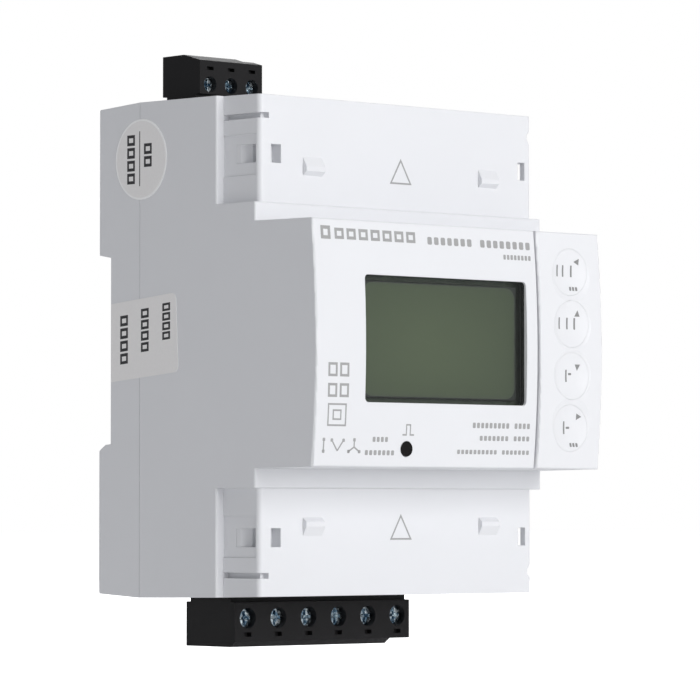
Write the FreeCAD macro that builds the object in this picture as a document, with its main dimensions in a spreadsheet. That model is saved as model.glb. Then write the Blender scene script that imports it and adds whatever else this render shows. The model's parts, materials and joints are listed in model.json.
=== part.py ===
import FreeCAD, Part
import math
import os
import re
import Sketcher

# Rail-mounted electricity meter, as an assembly of separate pieces.
#
# Frame, in millimetres: X runs along the mounting rail, Z is up, and the front of the meter
# faces -Y.  The origin is the middle of the rail seat, the face that rests on the front of a
# 35 mm rail.  "front" sizes are distances from that seat towards -Y.

doc = FreeCAD.newDocument("RailMeter")
sheet = doc.addObject("Spreadsheet::Sheet", "Dims")
V = FreeCAD.Vector

# ---------------------------------------------------------------- driving dimensions
SIZES = {
    # housing
    "body_width": 72.0, "rear_depth": 4.28, "seam_front": 8.57, "ledge_front": 30.98,
    "cover_front": 41.16, "band_front": 41.92, "face_front": 57.62, "face_bulge": 1.17,
    "rear_half": 45.65, "seam_half": 46.3, "ledge_half": 45.96, "cover_half": 45.73,
    "side_inset": 1.71, "band_half": 26.0, "block_half": 22.44, "face_half": 22.24,
    "wall": 2.0, "part_gap": 0.08, "fit_gap": 0.15, "lip_reach": 2.0, "lip_thick": 1.0, "lip_taper": 0.12,
    "rear_round": 1.3, "corner_round": 1.0, "edge_round": 0.4,
    # rail seat
    "seat_half": 17.55, "upper_flare": 0.7, "lower_flare": 1.75, "flare_start": 1.58,
    "rail_thick": 1.0, "rail_play": 0.2, "hook_reach": 1.5, "hook_thick": 2.0,
    "hook_width": 9.0, "hook_place": 22.0,
    # rail latch
    "latch_width": 20.0, "latch_deep": 3.6, "latch_front": 0.4, "latch_travel": 2.5,
    "latch_shoulder": 1.3, "shoulder_deep": 1.2, "stop_place": 38.0, "stop_height": 2.0,
    "spring_radius": 1.35, "spring_wire": 0.4, "spring_length": 11.0, "spring_turns": 7.0,
    "tool_slot_width": 6.0, "tool_slot_high": 1.6,
    # features of the terminal covers
    "slit_low": 41.4, "slit_high": 42.4, "slit_reach": 2.2, "slit_deep": 1.3,
    "notch_low": 39.3, "notch_high": 43.3, "notch_deep": 1.2,
    "panel_low": 31.05, "panel_high": 38.6, "panel_deep": 0.2, "panel_front": 40.1,
    "port_low": 33.3, "port_high": 36.7, "port_back": 34.47, "port_front": 39.9,
    "port_deep": 2.4, "port_block": 5.6, "tooth_front": 37.5, "tooth_flat": 1.1,
    "tooth_drop": 1.3, "port_left_inner": 29.2, "port_left_outer": 31.55,
    "port_right_inner": 30.65, "port_right_outer": 32.5,
    "bump_width": 4.6, "bump_low": 31.35, "bump_high": 34.7, "bump_rise": 0.95,
    "bump_foot": 0.75,
    "bump_left": 21.55, "bump_right": 22.6,
    # display window
    "window_left": 24.13, "window_right": 16.13, "window_top": 12.46, "window_bottom": 10.57,
    "window_round": 0.8, "lens_front": 58.03, "lens_step": 56.9, "lens_flange": 1.2,
    "lens_skirt": 0.9, "frame_margin": 1.6, "glass_front": 56.6, "glass_thick": 2.2,
    "glass_ledge": 1.2, "light_thick": 4.7,
    # keypad
    "groove_left": 18.85, "groove_right": 19.6, "groove_back": 2.2, "key_place": 28.0,
    "key_top": 14.8, "key_pitch": 9.8, "key_count": 4.0, "key_radius": 4.4, "key_gap": 0.03,
    "dimple_radius": 4.9, "dimple_deep": 0.8, "key_travel": 0.4, "flange_radius": 4.72,
    "key_thick": 0.9, "stem_radius": 1.6, "stem_end": 53.4, "switch_size": 6.0,
    "switch_thick": 3.5, "switch_bore": 1.2,
    # pulse lamp
    "lamp_place": 13.57, "lamp_low": 18.9, "lamp_radius": 1.35, "lamp_front": 58.15,
    # boards
    "display_front": 49.4, "board_thick": 1.6, "display_half": 19.8, "board_edge": 0.9,
    "main_front": 9.0, "main_half_width": 32.3, "main_half_height": 42.3,
    "boss_radius": 2.6, "boss_place": 29.5, "boss_high": 30.0, "screw_radius": 1.0,
    "screw_head": 1.9, "head_high": 1.3, "screw_long": 7.0, "pilot_gap": 0.1,
    "post_radius": 2.0, "post_left": 29.0, "post_right": 18.1, "post_high": 17.6,
    "riser_place": 31.1, "riser_half": 15.0, "link_size": 2.5, "link_half": 10.0,
    # upper plug, header and clamps
    "top_pitch": 5.08, "top_poles": 3.0, "top_first": 28.48, "top_left": 31.0,
    "top_right": 15.8, "top_rear": 9.22, "top_front": 20.12, "top_insert_rear": 10.43,
    "top_insert_front": 18.9, "top_shoulder": 47.5, "top_crown": 55.1, "top_lip": 0.6,
    "top_facet_back": 15.44, "top_facet_low": 53.8, "top_lip_end": 18.4,
    "top_axis": 49.35, "top_hole": 1.5, "top_head": 1.42, "top_shank": 1.15,
    "top_cage_wide": 4.0, "top_cage_high": 4.0, "top_cage_front": 1.0, "top_cage_rear": 0.6,
    "top_window": 2.7, "top_lift": 1.8, "top_bar": 0.6, "top_entry": 3.2, "top_pin": 1.0,
    "top_slot_at": 52.35, "top_slot_wide": 1.6, "top_slot_high": 0.65,
    # lower plug, header and clamps
    "low_pitch": 7.5, "low_poles": 6.0, "low_first": 22.25, "low_left": 25.34,
    "low_right": 18.35, "low_rear": 9.53, "low_front": 23.72, "low_insert_rear": 10.74,
    "low_insert_front": 22.4, "low_shoulder": 47.1, "low_crown": 55.4, "low_lip": 1.0,
    "low_facet_back": 22.3, "low_facet_low": 54.4, "low_lip_end": -13.3,
    "low_axis": 50.05, "low_hole": 1.93, "low_head": 1.8, "low_shank": 1.45,
    "low_cage_wide": 5.6, "low_cage_high": 4.9, "low_cage_front": 1.4, "low_cage_rear": 0.8,
    "low_window": 3.5, "low_lift": 2.5, "low_bar": 0.7, "low_entry": 3.9, "low_pin": 1.2,
    "low_slot_at": 53.1, "low_slot_wide": 1.75, "low_slot_high": 0.8,
    # shared by both connectors
    "plug_clear": 0.15, "shroud_wall": 1.0, "chamber_rear": 10.2, "pin_play": 0.13,
    "insert_end": 38.5, "contact_end": 39.0, "header_end": 36.4, "header_rim": 46.0,
    "bridge_at": 45.4, "pin_tip": 45.1, "pin_foot": 33.6, "head_sink": 1.2,
    # labels
    "label_thick": 0.08, "seal_place": 35.6, "round_label_radius": 7.55,
    "round_label_front": 9.0, "seal_back": 0.2, "seal_front": 20.06, "seal_top": 8.8,
    "seal_bottom": -5.9, "seal_rise": 1.5, "seal_lean": 0.76, "seal_round": 1.2,
}
for row, (alias, value) in enumerate(SIZES.items(), start=1):
    sheet.set(f"A{row}", str(value))
    sheet.setAlias(f"A{row}", alias)
doc.recompute()

FUNCTIONS = {"sqrt", "tan", "cos", "sin"}


def dims(text):
    """Turn a formula on size names into one on the sheet's cells."""
    return re.sub(r"[a-z][a-z_]+", lambda m: m.group(0) if m.group(0) in FUNCTIONS
                  else "Dims." + m.group(0), str(text))


def value(text):
    """The present value of such a formula, as FreeCAD works it out."""
    return float(sheet.evalExpression(dims(text)))


def bind(thing, **formulas):
    """Tie properties of an object to formulas; a double underscore stands for a dot."""
    for name, text in formulas.items():
        thing.setExpression(name.replace("__", "."), dims(text))
    return thing


# ---------------------------------------------------------------- outlines for sketches
def rect(left, low, right, high):
    return ("poly", [(left, low), (right, low), (right, high), (left, high)])


def poly(*points):
    return ("poly", list(points))


def ring(across, up, radius):
    return ("circle", (across, up), radius)


class Piece:
    """One sub-part: a PartDesign body, made feature by feature.

    A plane's two sketch directions and its normal are: YZ (Y, Z, towards +X),
    XZ (X, Z, towards -Y) and XY (X, Y, towards +Z).  start and stop are along the normal.
    """

    def __init__(self, label):
        self.label = label
        self.body = doc.addObject("PartDesign::Body", label)
        self.body.Label = label
        self.steps = 0

    def origin(self, role):
        return next(f for f in self.body.Origin.OriginFeatures if f.Role == role)

    def name(self, kind):
        self.steps += 1
        return f"{self.label}_{kind}{self.steps}"

    def sketch(self, plane, start, outlines):
        sketch = self.body.newObject("Sketcher::SketchObject", self.name("outline"))
        sketch.AttachmentSupport = [(self.origin(plane + "_Plane"), "")]
        sketch.MapMode = "FlatFace"
        bind(sketch, AttachmentOffset__Base__z=start)
        for outline in outlines:
            if outline[0] == "circle":
                self.draw_circle(sketch, *outline[1:])
            else:
                self.draw_polygon(sketch, outline[1])
        return sketch

    def place_point(self, sketch, item, end, point):
        for kind, text in zip(("DistanceX", "DistanceY"), point):
            rule = sketch.addConstraint(Sketcher.Constraint(kind, -1, 1, item, end, value(text)))
            sketch.setExpression(f"Constraints[{rule}]", dims(text))

    def draw_circle(self, sketch, centre, radius):
        middle = V(value(centre[0]), value(centre[1]), 0)
        item = sketch.addGeometry(Part.Circle(middle, V(0, 0, 1), value(radius)), False)
        rule = sketch.addConstraint(Sketcher.Constraint("Radius", item, value(radius)))
        sketch.setExpression(f"Constraints[{rule}]", dims(radius))
        self.place_point(sketch, item, 3, centre)

    def draw_polygon(self, sketch, points):
        """Points in order; a point that starts with 'arc' is passed through by an arc."""
        corners = [p for p in points if p[0] != "arc"]
        base = sketch.GeometryCount
        spot = [V(value(p[0]), value(p[1]), 0) for p in corners]
        count = len(corners)
        walk = [p for p in points] + [points[0]]
        bulges = {}
        seen = -1
        for point in walk[:-1]:
            if point[0] == "arc":
                bulges[seen] = point
            else:
                seen += 1
        for i in range(count):
            j = (i + 1) % count
            if i in bulges:
                through = V(value(bulges[i][1]), value(bulges[i][2]), 0)
                sketch.addGeometry(Part.Arc(spot[i], through, spot[j]), False)
            else:
                sketch.addGeometry(Part.LineSegment(spot[i], spot[j]), False)
        ends = [self.ends(sketch, base + i, spot[i]) for i in range(count)]
        for i in range(count):
            j = (i + 1) % count
            sketch.addConstraint(Sketcher.Constraint("Coincident", base + i, ends[i][1],
                                                     base + j, ends[j][0]))
            self.place_point(sketch, base + i, ends[i][0], corners[i])
            if i in bulges:
                radius = sketch.Geometry[base + i].Radius
                rule = sketch.addConstraint(Sketcher.Constraint("Radius", base + i, radius))
                sketch.setExpression(f"Constraints[{rule}]", dims(bulges[i][3]))

    @staticmethod
    def ends(sketch, item, start):
        """Which of an edge's two ends is its first; a sketcher arc always turns one way."""
        if (sketch.getPoint(item, 1) - start).Length < 1e-6:
            return 1, 2
        return 2, 1

    def feature(self, kind, plane, start, stop, outlines):
        sketch = self.sketch(plane, start, outlines)
        step = self.body.newObject("PartDesign::" + kind, self.name(kind.lower()))
        step.Profile = sketch
        step.Reversed = kind == "Pocket"
        bind(step, Length=f"({stop}) - ({start})")
        return step

    def add(self, plane, start, stop, *outlines):
        return self.feature("Pad", plane, start, stop, outlines)

    def cut(self, plane, start, stop, *outlines):
        return self.feature("Pocket", plane, start, stop, outlines)

    def repeat(self, steps, pitch, count):
        """Repeat features along X."""
        row = self.body.newObject("PartDesign::LinearPattern", self.name("row"))
        row.Originals = steps
        row.Direction = (self.origin("X_Axis"), [""])
        bind(row, Length=f"({pitch}) * ({count} - 1)", Occurrences=count)
        self.body.Tip = row
        return row

    def round(self, radius, wanted, kind="Fillet"):
        """Round the edges of the latest feature whose middle point the test accepts."""
        doc.recompute()
        edges = self.body.Tip.Shape.Edges
        names = [f"Edge{i + 1}" for i, edge in enumerate(edges) if wanted(edge)]
        before = self.body.Tip
        step = self.body.newObject("PartDesign::" + kind, self.name(kind.lower()))
        step.Base = (before, names)
        bind(step, **{"Radius" if kind == "Fillet" else "Size": radius})
        return step


def near(a, b, within=0.02):
    return abs(a - b) < within


def middle(edge):
    return edge.valueAt((edge.FirstParameter + edge.LastParameter) / 2)


def along(edge, axis):
    """True for a straight edge along an axis, 0 for X, 1 for Y and 2 for Z."""
    start, end = edge.Vertexes[0].Point, edge.Vertexes[-1].Point
    step = end - start
    return abs(step[axis]) > 0.98 * step.Length and step.Length > 1e-6


# ---------------------------------------------------------------- plain solids
def box(name, left, right, back, front, low, high):
    """A block; back and front are front distances, so the block lies towards -Y."""
    block = doc.addObject("Part::Box", name)
    bind(block, Length=f"({right}) - ({left})", Width=f"({front}) - ({back})",
         Height=f"({high}) - ({low})", Placement__Base__x=left,
         Placement__Base__y=f"-({front})", Placement__Base__z=low)
    return block


TO_FRONT = FreeCAD.Rotation(V(1, 0, 0), 90)


def rod(name, across, up, back, front, radius):
    """A cylinder whose axis runs front to back."""
    tube = doc.addObject("Part::Cylinder", name)
    tube.Placement = FreeCAD.Placement(V(), TO_FRONT)
    bind(tube, Radius=radius, Height=f"({front}) - ({back})", Placement__Base__x=across,
         Placement__Base__y=f"-({back})", Placement__Base__z=up)
    return tube


def join(name, kind, parts):
    """Combine plain solids: kind is MultiFuse, MultiCommon or Compound."""
    whole = doc.addObject("Part::" + kind, name)
    if kind == "Compound":
        whole.Links = parts
    else:
        whole.Shapes = parts
    return whole


def minus(name, base, tool):
    rest = doc.addObject("Part::Cut", name)
    rest.Base = base
    rest.Tool = tool
    return rest


NODES = []


def node(thing, label=None):
    """Mark an object as a sub-part that gets a file of its own."""
    result = thing.body if isinstance(thing, Piece) else thing
    if label:
        result.Label = label
    NODES.append(result)
    return result


# ---------------------------------------------------------------- values shared by pieces
HALF = "body_width / 2"
INNER = "(body_width / 2 - wall)"
INSET = "(body_width / 2 - side_inset)"
FACE_INNER = "(face_front - wall)"
APEX = "(face_front + face_bulge)"
BULGE_RADIUS = "((face_half * face_half + face_bulge * face_bulge) / (2 * face_bulge))"
MAIN_BACK = "(main_front - board_thick)"
SIGNS = (-1, 1)


def front_arc(direction):
    """The bowed front of the block, from one end to the other, as outline points."""
    ends = [("-face_front", "-face_half"), ("-face_front", "face_half")]
    if direction < 0:
        ends.reverse()
    return [ends[0], ("arc", f"-{APEX}", "0", BULGE_RADIUS), ends[1]]


# ---------------------------------------------------------------- rear base
def rear_base():
    part = Piece("rear_base")
    part.add("YZ", f"-{HALF}", HALF, poly(
        ("-seam_front", "seam_half"), ("rear_depth", "rear_half"),
        ("rear_depth", "seat_half + upper_flare"), ("0", "seat_half"), ("0", "-seat_half"),
        ("flare_start", "-seat_half - 0.15"), ("rear_depth", "-seat_half - lower_flare"),
        ("rear_depth", "-rear_half"), ("-seam_front", "-seam_half")))
    rear, half, high = value("rear_depth"), value(HALF), value("rear_half")
    part.round("rear_round", lambda e: near(middle(e).y, rear) and (
        near(abs(middle(e).x), half) or near(abs(middle(e).z), high)))
    # the hollow, stepped round the rail seat
    part.cut("YZ", f"-{INNER}", INNER, poly(
        ("-seam_front - 1", "seam_half - wall"), ("-seam_front", "seam_half - wall"),
        ("rear_depth - wall", "rear_half - wall"),
        ("rear_depth - wall", "seat_half + upper_flare + wall"),
        ("-wall", "seat_half + wall"), ("-wall", "-seat_half - wall"),
        ("rear_depth - wall", "-seat_half - lower_flare - wall"),
        ("rear_depth - wall", "-rear_half + wall"), ("-seam_front", "-seam_half + wall"),
        ("-seam_front - 1", "-seam_half + wall")))
    # bosses that carry the main board
    for side in SIGNS:
        for end in SIGNS:
            at = (f"{side} * boss_place", f"{end} * boss_high")
            part.add("XZ", "-rear_depth + wall - 0.5", f"{MAIN_BACK}", ring(*at, "boss_radius"))
            part.cut("XZ", f"{MAIN_BACK} - screw_long", f"{MAIN_BACK}",
                     ring(*at, "screw_radius + pilot_gap"))
    # fixed hooks behind the upper edge of the rail
    for side in SIGNS:
        part.add("YZ", f"{side} * hook_place - hook_width / 2",
                 f"{side} * hook_place + hook_width / 2", poly(
                     ("rail_thick + rail_play", "seat_half + wall"),
                     ("rail_thick + rail_play", "seat_half - hook_reach"),
                     ("rail_thick + rail_play + hook_thick / 2", "seat_half - hook_reach"),
                     ("rear_depth", "seat_half + 0.2"), ("rear_depth", "seat_half + wall")))
    # the latch's channel: a thick pad inside, then the T-shaped slot
    floor = "(latch_front + wall - 0.4)"
    slide = "(latch_width / 2 + latch_shoulder)"
    part.add("XZ", "-rear_depth + 0.5", floor,
             rect(f"-{slide} - wall", "-rear_half + 0.5", f"{slide} + wall", "-seat_half - 0.3"))
    wide, slim = "(latch_width / 2 + latch_shoulder + fit_gap)", "(latch_width / 2 + fit_gap)"
    part.cut("XZ", "-rear_depth - 1", "latch_front + fit_gap",
             rect(f"-{slim}", "-seam_half - 1", slim, "-seat_half + 1"))
    part.cut("XZ", "-latch_front - shoulder_deep", "latch_front + fit_gap",
             rect(f"-{wide}", "-seam_half - 1", wide, "-seat_half + 1"))
    part.add("XZ", "-latch_deep + 1.2", "latch_front + 0.5",
             rect("-1.6", "-stop_place - stop_height", "1.6", "-stop_place"))
    return node(part)


# ---------------------------------------------------------------- front housing
def front_housing():
    part = Piece("front_housing")
    part.add("YZ", f"-{HALF}", HALF, poly(
        ("-seam_front - part_gap", "-seam_half"), ("-seam_front - part_gap", "seam_half"),
        ("-ledge_front", "ledge_half"), ("-ledge_front", "-ledge_half")))
    part.add("YZ", f"-{INSET}", INSET, poly(
        ("-ledge_front", "-ledge_half"), ("-ledge_front", "ledge_half"),
        ("-cover_front", "cover_half"), ("-cover_front", "-cover_half")))
    half, inset = value(HALF), value(INSET)
    ledge, cover, band = value("ledge_front"), value("cover_front"), value("band_front")
    part.round("corner_round", lambda e: near(middle(e).y, -cover) and (
        near(abs(middle(e).x), inset)))
    part.round("edge_round", lambda e: near(middle(e).y, -ledge) and (
        near(abs(middle(e).x), half)))
    part.add("YZ", f"-{HALF}", HALF,
             rect("-band_front", "-band_half", "-ledge_front + 1", "band_half"))
    part.round("edge_round", lambda e: near(middle(e).y, -band))
    part.add("YZ", f"-{HALF}", HALF, poly(
        ("-band_front + 1", "-block_half"), *front_arc(1), ("-band_front + 1", "block_half")))
    part.round("edge_round", lambda e: middle(e).y < -value("face_front") + 0.01)
    # the hollow
    part.cut("YZ", f"-{INNER}", INNER, poly(
        ("-seam_front + 1", "-seam_half + wall"), ("-seam_front + 1", "seam_half - wall"),
        ("-ledge_front + wall", "ledge_half - wall"),
        ("-ledge_front + wall", "-ledge_half + wall")))
    inner_inset = f"({INSET} - wall)"
    part.cut("YZ", f"-{inner_inset}", inner_inset, poly(
        ("-ledge_front + wall + 1", "-cover_half + wall"),
        ("-ledge_front + wall + 1", "cover_half - wall"),
        ("-cover_front + wall", "cover_half - wall"),
        ("-cover_front + wall", "-cover_half + wall")))
    part.cut("YZ", f"-{INNER}", INNER, poly(
        (f"-{FACE_INNER}", "-block_half + wall"), (f"-{FACE_INNER}", "block_half - wall"),
        ("-ledge_front + wall + 1", "block_half - wall"),
        ("-ledge_front + wall + 1", "-block_half + wall")))
    # the lip that centres the housing in the rear base
    for back, front, gap in (("seam_front - lip_reach", "seam_front + 2", "part_gap"),
                             ("seam_front + part_gap", "seam_front + 3", "-0.25")):
        wide, tall = f"({INNER} - {gap})", f"(seam_half - wall - lip_taper - {gap})"
        step = part.add("XZ", back, front, rect(f"-{wide}", f"-{tall}", wide, tall))
        thin = f"({wide} - lip_thick)", f"({tall} - lip_thick)"
        part.cut("XZ", f"({back}) - 1", f"({front}) + 0.5",
                 rect(f"-{thin[0]}", f"-{thin[1]}", *thin))
    # the display window, with a wider pocket behind it for the lens
    window = ("-window_left", "-window_bottom", "window_right", "window_top")
    part.cut("XZ", f"{FACE_INNER} - 1", f"{APEX} + 1", rect(*window))
    left, right = -value("window_left"), value("window_right")
    part.round("window_round", lambda e: along(e, 1) and middle(e).y < -value(FACE_INNER)
               and (near(middle(e).x, left) or near(middle(e).x, right))
               and abs(middle(e).z) < value("window_top") + 0.1)
    part.cut("XZ", f"{FACE_INNER} - 1", "lens_step", rect(
        "-window_left - lens_flange", "-window_bottom - lens_flange",
        "window_right + lens_flange", "window_top + lens_flange"))
    part.cut("XZ", "display_front + 2", f"{APEX} + 1",
             ring("-lamp_place", "-lamp_low", "lamp_radius + part_gap"))
    # the front is cut away where the keypad sits, but stays behind the groove
    part.cut("XZ", FACE_INNER, f"{APEX} + 1",
             rect("groove_left", "-block_half - 1", f"{HALF} + 1", "block_half + 1"))
    part.add("XZ", f"{FACE_INNER} - groove_back", FACE_INNER,
             rect("groove_left - 1", "-block_half + wall - 0.5", "groove_right + 1.6",
                  "block_half - wall + 0.5"))
    # posts for the display board
    for across in ("-post_left", "post_right"):
        for end in SIGNS:
            at = (across, f"{end} * post_high")
            part.add("XZ", "display_front", FACE_INNER, ring(*at, "post_radius"))
            part.cut("XZ", "display_front - 1", "display_front + 5",
                     ring(*at, "screw_radius + pilot_gap"))
    # terminal covers: shallow side panels, ports, slits and catch bumps, above and below
    for end in SIGNS:
        low, high = sorted((f"{end} * panel_low", f"{end} * panel_high"), key=value)
        port = sorted((f"{end} * port_low", f"{end} * port_high"), key=value)
        slit = sorted((f"{end} * slit_low", f"{end} * slit_high"), key=value)
        for side in SIGNS:
            skin = sorted((f"{side} * ({INSET} - panel_deep)", f"{side} * ({INSET} + 1)"),
                          key=value)
            part.cut("YZ", *skin, rect("-panel_front", low, "-ledge_front", high))
            block = sorted((f"{side} * ({INSET} - wall + 0.5)", f"{side} * ({INSET} - port_block)"),
                           key=value)
            part.add("YZ", *block, rect("-cover_front + 0.5", low, "-port_back + 1", high))
            deep = sorted((f"{side} * ({INSET} - port_deep)", f"{side} * ({INSET} + 1)"), key=value)
            part.cut("YZ", *deep, rect("-port_front", port[0], "-port_back", port[1]))
            hand = "left" if side < 0 else "right"
            across = sorted((f"{side} * port_{hand}_inner", f"{side} * port_{hand}_outer"),
                            key=value)
            part.cut("XZ", "cover_front - port_deep", "cover_front + 1",
                     rect(across[0], port[0], across[1], port[1]))
            part.add("XY", *port, poly(
                (f"{side} * ({INSET} - port_deep - 0.5)", "-port_back + 0.5"),
                (f"{side} * ({INSET} - panel_deep - 0.1)", "-port_back + 0.5"),
                (f"{side} * ({INSET} - panel_deep - 0.1)", "-port_back - tooth_flat"),
                (f"{side} * ({INSET} - panel_deep - tooth_drop)", "-tooth_front"),
                (f"{side} * ({INSET} - port_deep - 0.5)", "-tooth_front")))
        # a blind slit round the left corner, and a V notch in the right one
        part.cut("YZ", f"-{INSET} - 1", f"-{INSET} + slit_deep",
                 rect("-cover_front - 1", slit[0], "-ledge_front", slit[1]))
        part.cut("XZ", "cover_front - slit_deep", "cover_front + 1",
                 rect(f"-{HALF} - 1", slit[0], f"-{INSET} + slit_reach", slit[1]))
        part.cut("XZ", "cover_front - 2 * slit_deep", "cover_front + 1", poly(
            (f"{INSET} + 0.5", f"{end} * notch_low"), (INSET, f"{end} * notch_low"),
            (f"{INSET} - notch_deep", f"{end} * (notch_low + 2.1)"),
            (f"{INSET} - notch_deep", f"{end} * (notch_low + 2.8)"),
            (INSET, f"{end} * notch_high"), (f"{INSET} + 0.5", f"{end} * notch_high")))
        for middle_x in ("-bump_left", "bump_right"):
            part.add("YZ", f"{middle_x} - bump_width / 2", f"{middle_x} + bump_width / 2", poly(
                ("-cover_front + 0.5", f"{end} * bump_low"),
                ("-cover_front", f"{end} * bump_low"),
                ("-cover_front - bump_rise", f"{end} * (bump_low + bump_foot)"),
                ("-cover_front - bump_rise", f"{end} * (bump_low + bump_foot + 0.9)"),
                ("-cover_front", f"{end} * bump_high"),
                ("-cover_front + 0.5", f"{end} * bump_high")))
    # openings for the two headers
    for kind, end in (("top", 1), ("low", -1)):
        low, high = sorted((f"{end} * header_end", f"{end} * (seam_half + 2)"), key=value)
        left, right = plug_sides(kind)
        room = "(plug_clear + shroud_wall + fit_gap)"
        part.cut("XY", low, high, rect(f"{left} - {room}", f"-{kind}_insert_front - {room}",
                                       f"{right} + {room}", "-seam_front + lip_reach + 1"))
    return node(part)


# ---------------------------------------------------------------- keypad
def key_heights():
    return [f"key_top - {i} * key_pitch" for i in range(round(value("key_count")))]


DIMPLE_SPHERE = "((dimple_radius * dimple_radius + dimple_deep * dimple_deep) / (2 * dimple_deep))"


def dimple_cutter(name, height):
    """A ball that cuts one shallow dish centred on a key."""
    ball = doc.addObject("Part::Sphere", name)
    surface = f"(face_front + face_bulge - ({height}) * ({height}) / (2 * {BULGE_RADIUS}))"
    bind(ball, Radius=DIMPLE_SPHERE, Placement__Base__x="key_place",
         Placement__Base__y=f"-({surface} - dimple_deep + {DIMPLE_SPHERE})",
         Placement__Base__z=height)
    return ball


def keypad():
    front = Piece("keypad_blank")
    front.add("YZ", "groove_right", HALF, poly(
        (f"-{FACE_INNER} - part_gap", "-face_half - 0.02"), *front_arc(1),
        (f"-{FACE_INNER} - part_gap", "face_half + 0.02")))
    half, left = value(HALF), value("groove_right")
    front.round("edge_round", lambda e: (
        near(middle(e).x, half) or near(middle(e).x, left)) and middle(e).y < -value("face_front")
        or near(middle(e).y, -value("face_front")) and along(e, 0))
    holes = [rod(f"key_hole_{i}", "key_place", z, "face_front - wall - 1", f"{APEX} + 1",
                 "key_radius + key_gap") for i, z in enumerate(key_heights())]
    dishes = [dimple_cutter(f"dish_{i}", z) for i, z in enumerate(key_heights())]
    frame = minus("keypad_frame", front.body, join("keypad_cuts", "MultiFuse", holes + dishes))
    node(frame, "keypad_frame")
    # each key is the same front, cut to a disc, with a flange and a stem behind it
    flange_front = f"({FACE_INNER} - part_gap)"
    for i, z in enumerate(key_heights()):
        disc = rod(f"key_disc_{i}", "key_place", z, f"{flange_front} - 0.2", f"{APEX} + 1",
                   "key_radius")
        block = Piece(f"key_block_{i}")
        block.add("YZ", "key_place - key_radius - 1", "key_place + key_radius + 1", poly(
            (f"-{flange_front} + 0.4", "-face_half - 0.02"), *front_arc(1),
            (f"-{flange_front} + 0.4", "face_half + 0.02")))
        cap = join(f"key_cap_{i}", "MultiCommon", [disc, block.body])
        cap = minus(f"key_dished_{i}", cap, dimple_cutter(f"key_dish_{i}", z))
        flange = rod(f"key_flange_{i}", "key_place", z, f"{flange_front} - key_thick",
                     f"{flange_front} - 0.1", "flange_radius")
        stem = rod(f"key_stem_{i}", "key_place", z, "stem_end", f"{flange_front} - 0.5",
                   "stem_radius")
        node(join(f"key_{i + 1}", "MultiFuse", [cap, flange, stem]), f"key_{i + 1}")
        bore_floor = "(display_front + switch_thick - switch_bore)"
        node(rod(f"switch_plunger_{i + 1}", "key_place", z, f"{bore_floor} + key_travel + 0.2",
                 "stem_end", "stem_radius"), f"switch_plunger_{i + 1}")
    switches = []
    for i, z in enumerate(key_heights()):
        case = box(f"switch_case_{i}", "key_place - switch_size / 2",
                   "key_place + switch_size / 2", "display_front",
                   "display_front + switch_thick", f"{z} - switch_size / 2",
                   f"{z} + switch_size / 2")
        bore = rod(f"switch_bore_{i}", "key_place", z,
                   "display_front + switch_thick - switch_bore",
                   "display_front + switch_thick + 1", "stem_radius + 0.1")
        switches.append(minus(f"switch_{i}", case, bore))
    node(join("key_switches", "Compound", switches), "key_switches")


# ---------------------------------------------------------------- display
def window_rect(grow):
    return (f"-window_left - ({grow})", f"window_right + ({grow})",
            f"-window_bottom - ({grow})", f"window_top + ({grow})")


def window_box(name, grow, back, front):
    left, right, low, high = window_rect(grow)
    return box(name, left, right, back, front, low, high)


def display():
    # the lens: a plate in the window, with a flange behind and a hollow for the collar
    neck = window_box("lens_neck", "-part_gap", "lens_step - 0.4", "lens_front")
    flange = window_box("lens_plate", "lens_flange - part_gap", FACE_INNER, "lens_step - 0.05")
    hollow = window_box("lens_hollow", "-lens_skirt", f"{FACE_INNER} - 1", "lens_step + 0.1")
    lens = minus("lens_cut", join("lens_solid", "MultiFuse", [neck, flange]), hollow)
    rounded = doc.addObject("Part::Fillet", "lcd_window")
    doc.recompute()
    rounded.Base = lens
    radius = value("window_round")
    front = -value("lens_front")
    corners = [i + 1 for i, e in enumerate(lens.Shape.Edges)
               if along(e, 1) and near(max(v.Y for v in e.Vertexes) - e.Length, front)]
    rounded.Edges = [(i, radius, radius) for i in corners]
    node(rounded, "lcd_window")
    # the black frame: the glass lies on a ledge in it and reaches into the lens
    body = window_box("frame_body", "frame_margin", "display_front", f"{FACE_INNER} - part_gap")
    sight = window_box("frame_sight", "-lens_skirt - glass_ledge", "display_front - 1", f"{APEX}")
    pocket = window_box("frame_pocket", "-lens_skirt", "glass_front - glass_thick - part_gap",
                        f"{APEX}")
    node(minus("lcd_frame", body, join("frame_cuts", "MultiFuse", [sight, pocket])),
         "lcd_frame")
    node(window_box("lcd_glass", "-lens_skirt - part_gap", "glass_front - glass_thick",
                    "glass_front"), "lcd_glass")
    node(window_box("lcd_backlight", "-lens_skirt - glass_ledge - part_gap", "display_front",
                    "display_front + light_thick"), "lcd_backlight")
    node(rod("pulse_lens", "-lamp_place", "-lamp_low", "display_front + 2.3", "lamp_front",
             "lamp_radius"), "pulse_lens")
    node(box("pulse_led", "-lamp_place - 1.2", "-lamp_place + 1.2", "display_front",
             "display_front + 2.2", "-lamp_low - 0.7", "-lamp_low + 0.7"), "pulse_led")


# ---------------------------------------------------------------- boards and what they carry
def screws(label, spots, seat, shank_front, head_back):
    """Pan-head screws; the head lies behind or in front of the board it holds."""
    whole = []
    for i, (across, up) in enumerate(spots):
        shank = rod(f"{label}_shank_{i}", across, up, *shank_front, "screw_radius")
        head = rod(f"{label}_head_{i}", across, up, *head_back, "screw_head")
        whole.append(join(f"{label}_{i}", "MultiFuse", [shank, head]))
    node(join(label, "Compound", whole), label)


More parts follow.
